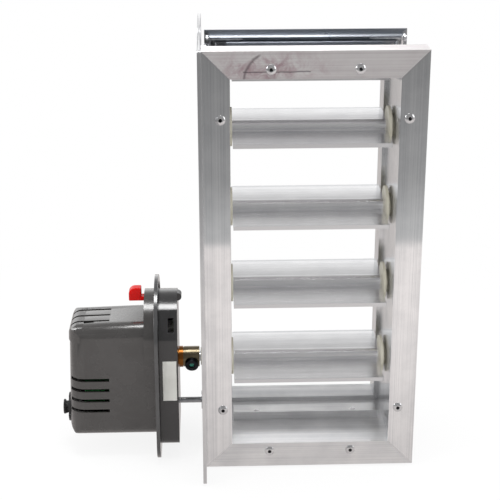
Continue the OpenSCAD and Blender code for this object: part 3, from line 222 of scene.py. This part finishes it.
def face_marks(tree, spot, under):
    """A water stain, a curved rub mark and one long scratch on the face of the top angle."""
    # blots about 11 mm wide break up all three
    broken = {"Scale": 90.0, "Detail": 7.0, "Roughness": 0.7, "Distortion": 0.6}
    blot = add_node(tree, "TexNoise", broken, {"Vector": spot}).outputs["Fac"]
    split = add_node(tree, "SeparateXYZ", {}, {0: spot})
    along_face, up_face = split.outputs["X"], split.outputs["Z"]
    stained = water_stain(tree, spot, blot, under)
    rubbed = rub_mark(tree, spot, blot, along_face, stained)
    return long_scratch(tree, blot, along_face, up_face, rubbed)


def trough_painted_shade(tree, spot, under):
    """The trough of the top channel, above its web, is painted a darker bluish grey: painted shade for the
    shadow in it and the dark room it mirrors.
    """
    web_z = 177.0
    split = add_node(tree, "SeparateXYZ", {}, {0: spot})
    inside = add_node(tree, "MapRange", {"From Min": (web_z - 1) * mm, "From Max": (web_z + 1) * mm,
                                         "To Max": 0.9}, {"Value": split.outputs["Z"]})
    # painted shade: the colour is darkened above the web
    return add_node(tree, "Mix", {"data_type": "RGBA", 7: linear("#858a92")},
                    {0: inside.outputs[0], 6: under}).outputs[2]


def darker_lips(tree, spot, under):
    """The lips along a blade's front and rear edges are a little darker."""
    lip_from, lip_to = 39 * mm, 40.5 * mm
    split = add_node(tree, "SeparateXYZ", {}, {0: spot})
    width = add_node(tree, "Math", {"operation": "ABSOLUTE"}, {0: split.outputs["Y"]})
    lip = add_node(tree, "MapRange", {"From Min": lip_from, "From Max": lip_to}, {"Value": width.outputs[0]})
    return add_node(tree, "Mix", {"data_type": "RGBA", 7: linear("#d9dadc")},
                    {0: lip.outputs[0], 6: under}).outputs[2]


along_x = mill_aluminium("mill_aluminium_along_x", "X", light="#f6f6f6", dull="#e0e0e2", rough=0.33)
along_z = mill_aluminium("mill_aluminium_along_z", "Z", rough=0.18)
face_along_z = mill_aluminium("mill_aluminium_face_along_z", "Z", rough=0.085)
# the top channel, with painted shade in its trough
channel_metal = mill_aluminium("mill_aluminium_trough", "X", light="#e6e7ea", dull="#cfd1d5", rough=0.3,
                               marks=trough_painted_shade)
sill_metal = mill_aluminium("mill_aluminium_sill", "X", light="#f2f2f3", dull="#dcdddf", rough=0.4)
top_face = mill_aluminium("mill_aluminium_stained", "X", light="#f8f5f5", dull="#e4dfe0", rough=0.34,
                          marks=face_marks)
blade_metal = mill_aluminium("mill_aluminium_blades", "X", light="#f8f8f9", dull="#eaeaec", rough=0.22,
                             patchy=0.006, crown=4.8, marks=darker_lips)
plate_metal = mill_aluminium("sheet_aluminium", "Z", light="#dedfe0", dull="#c4c5c8", rough=0.34)


def plated_steel(name, light, dull, roughness):
    """Plated or drawn steel: bright metal with faint cloudiness about 4 mm wide from the bath."""
    made, tree, spot = new_material(name)
    clouded = {"Scale": 1 / (4 * mm), "Detail": 4.0}
    cloud = add_node(tree, "TexNoise", clouded, {"Vector": spot}).outputs["Fac"]
    share = add_node(tree, "MapRange", {"From Min": 0.3, "From Max": 0.7}, {"Value": cloud})
    colour = add_node(tree, "Mix", {"data_type": "RGBA", 6: linear(dull), 7: linear(light)},
                      {0: share.outputs[0]})
    rough = add_node(tree, "MapRange", {"To Min": roughness - 0.07, "To Max": roughness + 0.09},
                     {"Value": cloud})
    end_in_shader(tree, {"Metallic": 1.0}, {"Base Color": colour.outputs[2], "Roughness": rough.outputs[0]})
    return made


def chromated_hub():
    """Yellow chromate over zinc: an orange-bronze ring where it is thick, olive brown on the turned body,
    with clouds about 3 mm wide."""
    ring_from, ring_to = -21.2, -21.8
    made, tree, spot = new_material("yellow_chromated_steel")
    split = add_node(tree, "SeparateXYZ", {}, {0: spot})
    ring = add_node(tree, "MapRange", {"From Min": ring_from * mm, "From Max": ring_to * mm},
                    {"Value": split.outputs["X"]})
    cloud = add_node(tree, "TexNoise", {"Scale": 300.0, "Detail": 4.0}, {"Vector": spot})
    body = add_node(tree, "Mix", {"data_type": "RGBA", 6: linear("#5d5445"), 7: linear("#7d735e")},
                    {0: cloud.outputs["Fac"]})
    both = add_node(tree, "Mix", {"data_type": "RGBA", 7: linear("#865527")},
                    {0: ring.outputs[0], 6: body.outputs[2]})
    end_in_shader(tree, {"Metallic": 1.0, "Roughness": 0.28}, {"Base Color": both.outputs[2]})
    return made


def moulded(name, light, dull, roughness, grain_mm, grain_height, coat=0.0, sheen=0.5):
    """Injection-moulded plastic with the grain of a spark-eroded mould and slightly uneven colour, in
    clouds about 22 mm wide; the grain is drawn 0.6 mm or wider so that it shows."""
    made, tree, spot = new_material(name)
    grain = add_node(tree, "TexNoise", {"Scale": 1000 / grain_mm, "Detail": 2.0}, {"Vector": spot})
    cloud = add_node(tree, "TexNoise", {"Scale": 45.0, "Detail": 4.0}, {"Vector": spot}).outputs["Fac"]
    share = add_node(tree, "MapRange", {"From Min": 0.3, "From Max": 0.7}, {"Value": cloud})
    colour = add_node(tree, "Mix", {"data_type": "RGBA", 6: linear(dull), 7: linear(light)},
                      {0: share.outputs[0]})
    rough = add_node(tree, "MapRange", {"To Min": roughness - 0.05, "To Max": roughness + 0.05},
                     {"Value": cloud})
    bump = add_node(tree, "Bump", {"Strength": 0.25, "Distance": grain_height * mm},
                    {"Height": grain.outputs["Fac"]})
    end_in_shader(tree, {"IOR": 1.52, "Specular IOR Level": sheen, "Coat Weight": coat,
                         "Coat Roughness": 0.14},
                  {"Base Color": colour.outputs[2], "Roughness": rough.outputs[0], "Normal": bump.outputs[0]})
    return made


rivet_metal = plated_steel("rivet_aluminium", "#e4e4e5", "#c6c6c8", 0.22)
zinc = plated_steel("zinc_plated_steel", "#d6d7da", "#b4b5b9", 0.26)
bright_bar = plated_steel("drawn_steel_bar", "#d8d9dc", "#c0c1c5", 0.16)
grey_bar = plated_steel("turned_steel_pin", "#a4a5a8", "#8b8c90", 0.2)
bright_zinc = plated_steel("bright_zinc_screws", "#f4f5f7", "#dedfe2", 0.3)
black_oxide = plated_steel("black_oxide_steel", "#34353a", "#1d1e21", 0.28)
# the mandrels' near-black colour is painted shade for the dark eyes of the face rivets
mandrel_and_eye_shade = plated_steel("snapped_rivet_mandrel_and_eye_shade", "#3a3a3c", "#202022", 0.5)
motor_steel = plated_steel("motor_can_steel", "#b9bbbe", "#9c9ea1", 0.3)
hub_metal = chromated_hub()
cover_plastic = moulded("grey_abs_cover", "#3e3c3b", "#363433", 0.27, 0.7, 0.012, coat=0.6)
base_plastic = moulded("grey_abs_base", "#2a292a", "#232223", 0.24, 0.7, 0.012, coat=0.6)
hoop_plastic = moulded("grey_abs_hoop", "#434344", "#3a3a3b", 0.24, 0.7, 0.012, coat=0.8)
red_plastic = moulded("red_acetal_lever", "#d60802", "#c20602", 0.26, 0.8, 0.006, coat=0.12, sheen=0.12)
ivory_nylon = moulded("ivory_nylon", "#e3dfcf", "#d6d1be", 0.45, 0.9, 0.02)
white_acetal = moulded("white_acetal", "#e6e5df", "#d9d8d0", 0.38, 0.9, 0.02)
grey_rubber = moulded("grey_nylon_entry", "#2d2c2c", "#232223", 0.4, 0.9, 0.02)
board_green = moulded("green_circuit_board", "#1f6b3a", "#185a30", 0.35, 1.2, 0.02)
block_green = moulded("green_terminal_block", "#3c9a52", "#2f8545", 0.42, 0.9, 0.02)
label_film = moulded("pale_label_film", "#e9e8e2", "#dcdbd4", 0.42, 0.6, 0.004)
lock_green = moulded("green_thread_lock_patch", "#2fa08a", "#23806f", 0.35, 0.6, 0.02)

finish_of = {
    "top_channel": channel_metal, "bottom_channel": sill_metal, "left_jamb": along_z, "right_jamb": along_z,
    "face_angle_top": top_face, "face_angle_bottom": along_x, "face_angle_left": face_along_z,
    "face_angle_right": face_along_z, "face_rivets": rivet_metal, "stop_rivets": rivet_metal,
    "corner_screws": zinc, "plate_screws": zinc, "mounting_plate": plate_metal, "plate_packer": plate_metal,
    "top_stop": along_x, "bottom_stop": along_x, "jamb_bushings": ivory_nylon, "shaft_bearing": ivory_nylon,
    "tie_bar": zinc, "link_pins": zinc, "drive_shaft": bright_bar, "axle_stub_4": bright_bar,
    "actuator_base": base_plastic, "hoop_plate": hoop_plastic, "actuator_cover": cover_plastic,
    "cover_screws": zinc, "drive_hub": hub_metal, "hub_set_screw": black_oxide, "output_gear": white_acetal,
    "gear_wheel_a": white_acetal, "gear_wheel_b": white_acetal, "gear_arbors": bright_bar,
    "motor": motor_steel, "motor_plate": zinc, "motor_pinion": bright_bar, "manual_lever": red_plastic,
    "circuit_board": board_green, "terminal_block": block_green, "wire_entry": grey_rubber,
    "label": label_film, "anti_rotation_pin": grey_bar, "pin_nut": zinc,
}
for i in (1, 2, 3, 4):
    finish_of["blade_%d" % i] = blade_metal
    finish_of["end_discs_%d" % i] = ivory_nylon
    finish_of["crank_%d" % i] = zinc
for i in (1, 2, 3):
    finish_of["axle_stubs_%d" % i] = bright_bar
for name, node in nodes.items():
    node.data.materials.clear()
    node.data.materials.append(finish_of[name])


def piece(name, bm, body, finish, smooth_to=32):
    """Makes a mesh a named piece that rides on a body and takes the finish given to it."""
    mesh = bpy.data.meshes.new(name)
    bm.to_mesh(mesh)
    bm.free()
    for face in mesh.polygons:
        face.use_smooth = True
    mesh.set_sharp_from_angle(angle=math.radians(smooth_to))
    mesh.materials.append(finish)
    made = bpy.data.objects.new(name, mesh)
    scene.collection.objects.link(made)
    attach(made, body)
    return made


def merged_copy(node):
    """The node's own solid with its loose triangles joined."""
    bm = bmesh.new()
    bm.from_mesh(nodes[node].data)
    bmesh.ops.remove_doubles(bm, verts=bm.verts, dist=0.002 * mm)
    return bm


def cut_across(bm, point, normal, clear_outer=False):
    """Cuts a mesh along a plane through a point in millimetres."""
    return bmesh.ops.bisect_plane(bm, geom=bm.verts[:] + bm.edges[:] + bm.faces[:], dist=0.001 * mm,
                                  plane_co=[c * mm for c in point], plane_no=normal, clear_outer=clear_outer)


def slant_end_wall(bm):
    """Leans the cover's end wall out by 1 mm at its top and 4.4 mm at its foot, as its moulded draft does."""
    collar_x, end_x = -45.0, -127.5
    lean_z, lean_there, lean_per_mm = 22.0, 1.56, 0.0346
    for v in bm.verts:
        reach = (collar_x * mm - v.co.x) / ((collar_x - end_x) * mm)
        drop = lean_z - (v.co.z / mm - shaft_z)
        v.co.x -= max(reach, 0.0) * (lean_there + lean_per_mm * drop) * mm


def turn_entry_neck(bm):
    """Turns a neck and an end lip on the wire entry's nozzle, and widens its gripped nut a little."""
    axis_z, nut_face_x, lip_x = shaft_z - 52.0, -134.4, -138.2
    nozzle_from, nozzle_to, nut_from = 6.5, 9, 10
    neck_radius, lip_radius, nut_growth = 5.7, 7.2, 1.1
    for x in (lip_x - 0.3, lip_x + 0.5):
        cut_across(bm, (x, 0, 0), (1, 0, 0))
    for v in bm.verts:
        radius = math.hypot(v.co.y, v.co.z - axis_z * mm) / mm
        grown = 1.0
        if radius > nut_from:
            grown = nut_growth
        elif nozzle_from < radius < nozzle_to and v.co.x < nut_face_x * mm:
            grown = (lip_radius if v.co.x < lip_x * mm else neck_radius) / radius
        v.co.y *= grown
        v.co.z = axis_z * mm + (v.co.z - axis_z * mm) * grown


def eased_copy(node, width):
    """The node's own solid with its outer edges eased, as its mould or its tumbling leaves them."""
    sharp = math.radians(38)
    bm = merged_copy(node)
    if node == "actuator_cover":
        slant_end_wall(bm)
    if node == "wire_entry":
        turn_entry_neck(bm)
    bmesh.ops.dissolve_limit(bm, angle_limit=math.radians(0.4), verts=bm.verts, edges=bm.edges)
    if width:
        outer = [e for e in bm.edges
                 if len(e.link_faces) == 2 and e.is_convex and e.calc_face_angle(0) > sharp]
        bmesh.ops.bevel(bm, geom=outer, offset=width * mm, offset_type="OFFSET", segments=2, profile=0.5,
                        affect="EDGES", material=-1, clamp_overlap=True)
    made = piece("eased_" + node, bm, body_of[node], finish_of[node], smooth_to=20)
    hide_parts(node)


eased_by = {"actuator_cover": 0.5, "mounting_plate": 0.4, "actuator_base": 0.6, "hoop_plate": 1.3,
            "manual_lever": 1.7, "drive_hub": 0.4, "hub_set_screw": 0.3, "wire_entry": 0.4,
            "face_rivets": 0.5, "label": 0.0}
for node, width in eased_by.items():
    eased_copy(node, width)

# snapped mandrels in the eyes of the face rivets, coloured near black: painted shade that darkens the eyes

stub_radius, stub_tip_radius, stub_length, stub_depth = 1.5, 1.1, 4.4, 1.6
rail_rivet_x, rail_rivet_z = 38.5, 184.0
jamb_rivet_xs, jamb_rivet_z = (16.0, 181.0), 140.0
rivet_places = [(frame_mid_x + x, frame_mid_z + z) for x in (-rail_rivet_x, rail_rivet_x)
                for z in (-rail_rivet_z, rail_rivet_z)]
rivet_places += [(x, frame_mid_z + z) for x in jamb_rivet_xs for z in (-jamb_rivet_z, jamb_rivet_z)]
bm = bmesh.new()
for x, z in rivet_places:
    stub = bmesh.ops.create_cone(bm, cap_ends=True, segments=20, radius1=stub_radius * mm,
                                 radius2=stub_tip_radius * mm, depth=stub_length * mm)["verts"]
    bmesh.ops.rotate(bm, verts=stub, cent=(0, 0, 0), matrix=Matrix.Rotation(math.radians(90), 3, "X"))
    bmesh.ops.translate(bm, verts=stub, vec=(x * mm, (face_y + stub_depth) * mm, z * mm))
piece("rivet_mandrels", bm, "frame", mandrel_and_eye_shade)

# corner screws with their rolled threads, lying in the screw ports

screw_seat, screw_y, screw_high = 4.4, 53.9, 189.0
screw_head, screw_reach, point_length = 2.4, 32.5, 4
head_radius, head_top_radius, shank_radius, tip_radius = 3.2, 2.9, 1.55, 0.2
recess_rim, recess_taper, recess_depth = 1.3, 0.1, 1.2
thread_root, thread_crest, thread_pitch, thread_turns, thread_steps = 1.45, 1.99, 1.4, 19, 14


def turned_to_x(bm, verts, middle_x):
    """Turns what was made upright to lie along x, with its middle at middle_x."""
    bmesh.ops.rotate(bm, verts=verts, cent=(0, 0, 0), matrix=Matrix.Rotation(math.radians(90), 3, "Y"))
    bmesh.ops.translate(bm, verts=verts, vec=(middle_x * mm, 0, 0))


def corner_screw():
    """A self-tapping screw from its head at x = 0 to its point: head with a recess, shank, point, thread."""
    screw = bmesh.new()
    bmesh.ops.create_cone(screw, cap_ends=True, segments=24, radius1=head_radius * mm,
                          radius2=head_top_radius * mm, depth=screw_head * mm)
    top = [f for f in screw.faces if f.normal.z < -0.9]
    for inward, deeper in ((recess_rim, 0), (recess_taper, -recess_depth)):
        bmesh.ops.inset_region(screw, faces=top, thickness=inward * mm, depth=deeper * mm)
    turned_to_x(screw, screw.verts, screw_head / 2)
    shank_length = screw_reach - point_length
    shank = (shank_length, shank_radius, screw_head + shank_length / 2)
    point = (point_length, tip_radius, screw_head + screw_reach - point_length / 2)
    for length, end_radius, middle_x in (shank, point):
        stretch = bmesh.ops.create_cone(screw, cap_ends=True, segments=20, radius1=shank_radius * mm,
                                        radius2=end_radius * mm, depth=length * mm)["verts"]
        turned_to_x(screw, stretch, middle_x)
    profile = ((0.5, thread_root), (0.9, thread_crest), (1.3, thread_root))
    ridge = [screw.verts.new((screw_head * mm + x * mm, 0, radius * mm)) for x, radius in profile]
    loop = [screw.edges.new((ridge[i], ridge[(i + 1) % 3])) for i in range(3)]
    bmesh.ops.spin(screw, geom=ridge + loop, cent=(0, 0, 0), axis=(1, 0, 0),
                   dvec=(thread_pitch / thread_steps * mm, 0, 0), angle=math.tau * thread_turns,
                   steps=thread_steps * thread_turns, use_duplicate=False)
    bmesh.ops.holes_fill(screw, edges=[e for e in screw.edges if e.is_boundary], sides=3)
    return screw


bm = bmesh.new()
for side, start in ((1, screw_seat), (-1, 2 * frame_mid_x - screw_seat)):
    for level in (1, -1):
        screw = corner_screw()
        bmesh.ops.scale(screw, verts=screw.verts, vec=(side, 1, 1))
        bmesh.ops.translate(screw, verts=screw.verts,
                            vec=(start * mm, screw_y * mm, (frame_mid_z + level * screw_high) * mm))
        bmesh.ops.recalc_face_normals(screw, faces=screw.faces)
        whole = bpy.data.meshes.new("one_corner_screw")
        screw.to_mesh(whole)
        screw.free()
        bm.from_mesh(whole)
        bpy.data.meshes.remove(whole)
threads = piece("threaded_corner_screws", bm, "frame", bright_zinc, smooth_to=40)
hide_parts("corner_screws")

# the lip between the top vents: the cover's own upper far corner, standing 0.9 mm proud of the end wall

lip_from_x, lip_from_z, lip_proud = -115.0, 29.0, 0.9
lip_narrowed, lip_raised = 0.998, 1.002
bm = merged_copy("actuator_cover")
slant_end_wall(bm)
for point, normal in (((lip_from_x, 0, 0), (1, 0, 0)), ((0, 0, shaft_z + lip_from_z), (0, 0, -1))):
    cut = cut_across(bm, point, normal, clear_outer=True)
    rim = [e for e in cut["geom_cut"] if isinstance(e, bmesh.types.BMEdge)]
    bmesh.ops.triangle_fill(bm, edges=rim, use_beauty=True, use_dissolve=True)
bmesh.ops.recalc_face_normals(bm, faces=bm.faces)
reach = lip_from_x * mm - min(v.co.x for v in bm.verts)
bmesh.ops.scale(bm, verts=bm.verts, vec=(1 + lip_proud * mm / reach, lip_narrowed, lip_raised),
                space=Matrix.Translation((-lip_from_x * mm, 0, -(shaft_z + lip_from_z) * mm)))
piece("cover_end_lip", bm, "frame", cover_plastic)

# green thread-lock patch showing in the hexagon socket of the hub's set screw

set_turn = math.radians(15)
set_line = Vector((0, -math.cos(set_turn), -math.sin(set_turn)))
set_screw_x, patch_radius, patch_outer_radius, patch_thick, patch_out = -13.2, 2.7, 2.5, 1.4, 12.3
bm = bmesh.new()
bmesh.ops.create_cone(bm, cap_ends=True, segments=6, radius1=patch_radius * mm,
                      radius2=patch_outer_radius * mm, depth=patch_thick * mm)
bmesh.ops.rotate(bm, verts=bm.verts, cent=(0, 0, 0), matrix=set_line.to_track_quat("Z", "X").to_matrix())
bmesh.ops.translate(bm, verts=bm.verts,
                    vec=Vector((set_screw_x * mm, 0, shaft_z * mm)) + set_line * patch_out * mm)
piece("thread_lock_patch", bm, "drive", lock_green, smooth_to=20)


def studio_floor():
    """A white table top. What metal mirrors of it is a painted glow, bright near the damper and grey beyond
    the table's front edge, which lies about 0.7 m in front."""
    table_radius, below_part = 6.0, 0.0002
    bm = bmesh.new()
    bmesh.ops.create_circle(bm, cap_ends=True, radius=table_radius, segments=64)
    bmesh.ops.translate(bm, verts=bm.verts, vec=(0, 0, floor_z - below_part))
    mesh = bpy.data.meshes.new("studio_floor")
    bm.to_mesh(mesh)
    bm.free()
    made = bpy.data.objects.new("studio_floor", mesh)
    scene.collection.objects.link(made)
    material, tree, spot = new_material("white_table_top")
    split = add_node(tree, "SeparateXYZ", {}, {0: spot})
    aside, away = split.outputs["X"], split.outputs["Y"]
    ray = add_node(tree, "LightPath")
    # what the camera sees: plain white, and close to the damper also the table itself, with its shadow
    far = add_node(tree, "VectorMath", {"operation": "LENGTH"}, {0: spot})
    fade = add_node(tree, "MapRange", {"From Min": 0.2, "From Max": 0.6, "To Min": 0.86, "To Max": 1.0},
                    {"Value": far.outputs["Value"]})
    seen = add_node(tree, "Math", {"operation": "MULTIPLY"},
                    {0: ray.outputs["Is Camera Ray"], 1: fade.outputs[0]})
    table = add_node(tree, "BsdfDiffuse", {"Color": linear("#f4f4f4")})
    white = add_node(tree, "Emission", {"Color": (1, 1, 1, 1), "Strength": 1.0})
    camera_view = add_node(tree, "MixShader", {},
                           {0: seen.outputs[0], 1: table.outputs[0], 2: white.outputs[0]})
    # what metal mirrors is a glow, not the lit table: dusk beyond the table's edge, paler just past that
    # edge, and on the table a painted reflection of the lit paper
    dusk = add_node(tree, "MapRange", {"From Min": -1.0, "From Max": -2.0, "To Min": 0.33, "To Max": 0.24},
                    {"Value": away})
    rim = add_node(tree, "MapRange", {"From Min": -0.74, "From Max": -1.0, "To Min": 0.16, "To Max": 0.0},
                   {"Value": away})
    beyond = add_node(tree, "Math", {"operation": "ADD"}, {0: dusk.outputs[0], 1: rim.outputs[0]})
    # painted shadow: the mirrored table grows dimmer close to the damper
    near = add_node(tree, "MapRange", {"From Min": -0.35, "From Max": -0.08, "To Min": 0.83, "To Max": 0.66},
                    {"Value": away})
    edge = add_node(tree, "MapRange", {"From Min": -0.705, "From Max": -0.675}, {"Value": away})
    level = add_node(tree, "Mix", {"data_type": "FLOAT"},
                     {0: edge.outputs[0], 2: beyond.outputs[0], 3: near.outputs[0]})
    # painted light: the mirrored table is brighter towards the right
    lit = add_node(tree, "MapRange", {"From Min": -0.1, "From Max": 0.25, "To Min": 0.98, "To Max": 1.1},
                   {"Value": aside})
    strength = add_node(tree, "Math", {"operation": "MULTIPLY"}, {0: level.outputs[0], 1: lit.outputs[0]})
    tint = add_node(tree, "Mix", {"data_type": "RGBA", 6: (1, 1, 1, 1), 7: (1, 0.95, 0.93, 1)},
                    {0: edge.outputs[0]})
    mirrored = add_node(tree, "Emission", {}, {"Color": tint.outputs[2], "Strength": strength.outputs[0]})
    mix = add_node(tree, "MixShader", {},
                   {0: ray.outputs["Is Glossy Ray"], 1: camera_view.outputs[0], 2: mirrored.outputs[0]})
    add_node(tree, "OutputMaterial", {}, {"Surface": mix.outputs[0]})
    mesh.materials.append(material)


def studio_world():
    """Even soft light. Metal mirrors a white wall behind the damper, greyer higher up, and a grey room in
    front of it and above, with a bright patch of ceiling straight overhead."""
    world = bpy.data.worlds.new("studio")
    scene.world = world
    world.use_nodes = True
    tree = world.node_tree
    tree.nodes.clear()
    look = add_node(tree, "TexCoord").outputs["Generated"]
    split = add_node(tree, "SeparateXYZ", {}, {0: look})
    back, up = split.outputs["Y"], split.outputs["Z"]
    behind = add_node(tree, "MapRange", {"From Min": -0.05, "From Max": 0.3}, {"Value": back})
    wall = add_node(tree, "MapRange", {"From Min": 0.33, "From Max": 0.6, "To Min": 1.3, "To Max": 0.5},
                    {"Value": up})
    room = add_node(tree, "MapRange", {"From Min": 0.955, "From Max": 0.99, "To Min": 0.36, "To Max": 3.0},
                    {"Value": up})
    level = add_node(tree, "Mix", {"data_type": "FLOAT"},
                     {0: behind.outputs[0], 2: room.outputs[0], 3: wall.outputs[0]})
    ray = add_node(tree, "LightPath")
    mirrored = add_node(tree, "Background", {"Color": (1, 1, 1, 1)}, {"Strength": level.outputs[0]})
    soft = add_node(tree, "Background", {"Color": (1, 1, 1, 1), "Strength": 0.9})
    white = add_node(tree, "Background", {"Color": (1, 1, 1, 1), "Strength": 1.0})
    lit = add_node(tree, "MixShader", {},
                   {0: ray.outputs["Is Glossy Ray"], 1: soft.outputs[0], 2: mirrored.outputs[0]})
    seen = add_node(tree, "Math", {"operation": "MAXIMUM"},
                    {0: ray.outputs["Is Camera Ray"], 1: ray.outputs["Is Transmission Ray"]})
    mix = add_node(tree, "MixShader", {}, {0: seen.outputs[0], 1: lit.outputs[0], 2: white.outputs[0]})
    add_node(tree, "OutputWorld", {}, {"Surface": mix.outputs[0]})


def softbox(name, where, aim, size, watts):
    """A rectangular lamp that stands at a place in metres and points at another."""
    lamp = bpy.data.lights.new(name, "AREA")
    lamp.shape = "RECTANGLE"
    lamp.size, lamp.size_y = size
    lamp.energy = watts
    made = bpy.data.objects.new(name, lamp)
    made.location = where
    made.rotation_euler = (Vector(aim) - Vector(where)).to_track_quat("-Z", "Y").to_euler()
    scene.collection.objects.link(made)


studio_floor()
studio_world()
softbox("softbox_over", where=(-0.05, -0.12, 1.85), aim=(0.0, 0.0, 0.0), size=(0.8, 0.5), watts=16)
softbox("softbox_left", where=(-1.5, -1.0, 0.7), aim=(-0.05, 0.0, -0.1), size=(0.25, 0.9), watts=7)
softbox("softbox_right", where=(1.7, -1.0, 0.7), aim=(0.1, 0.0, 0.0), size=(0.6, 1.2), watts=6)

scene.view_settings.view_transform = "Standard"
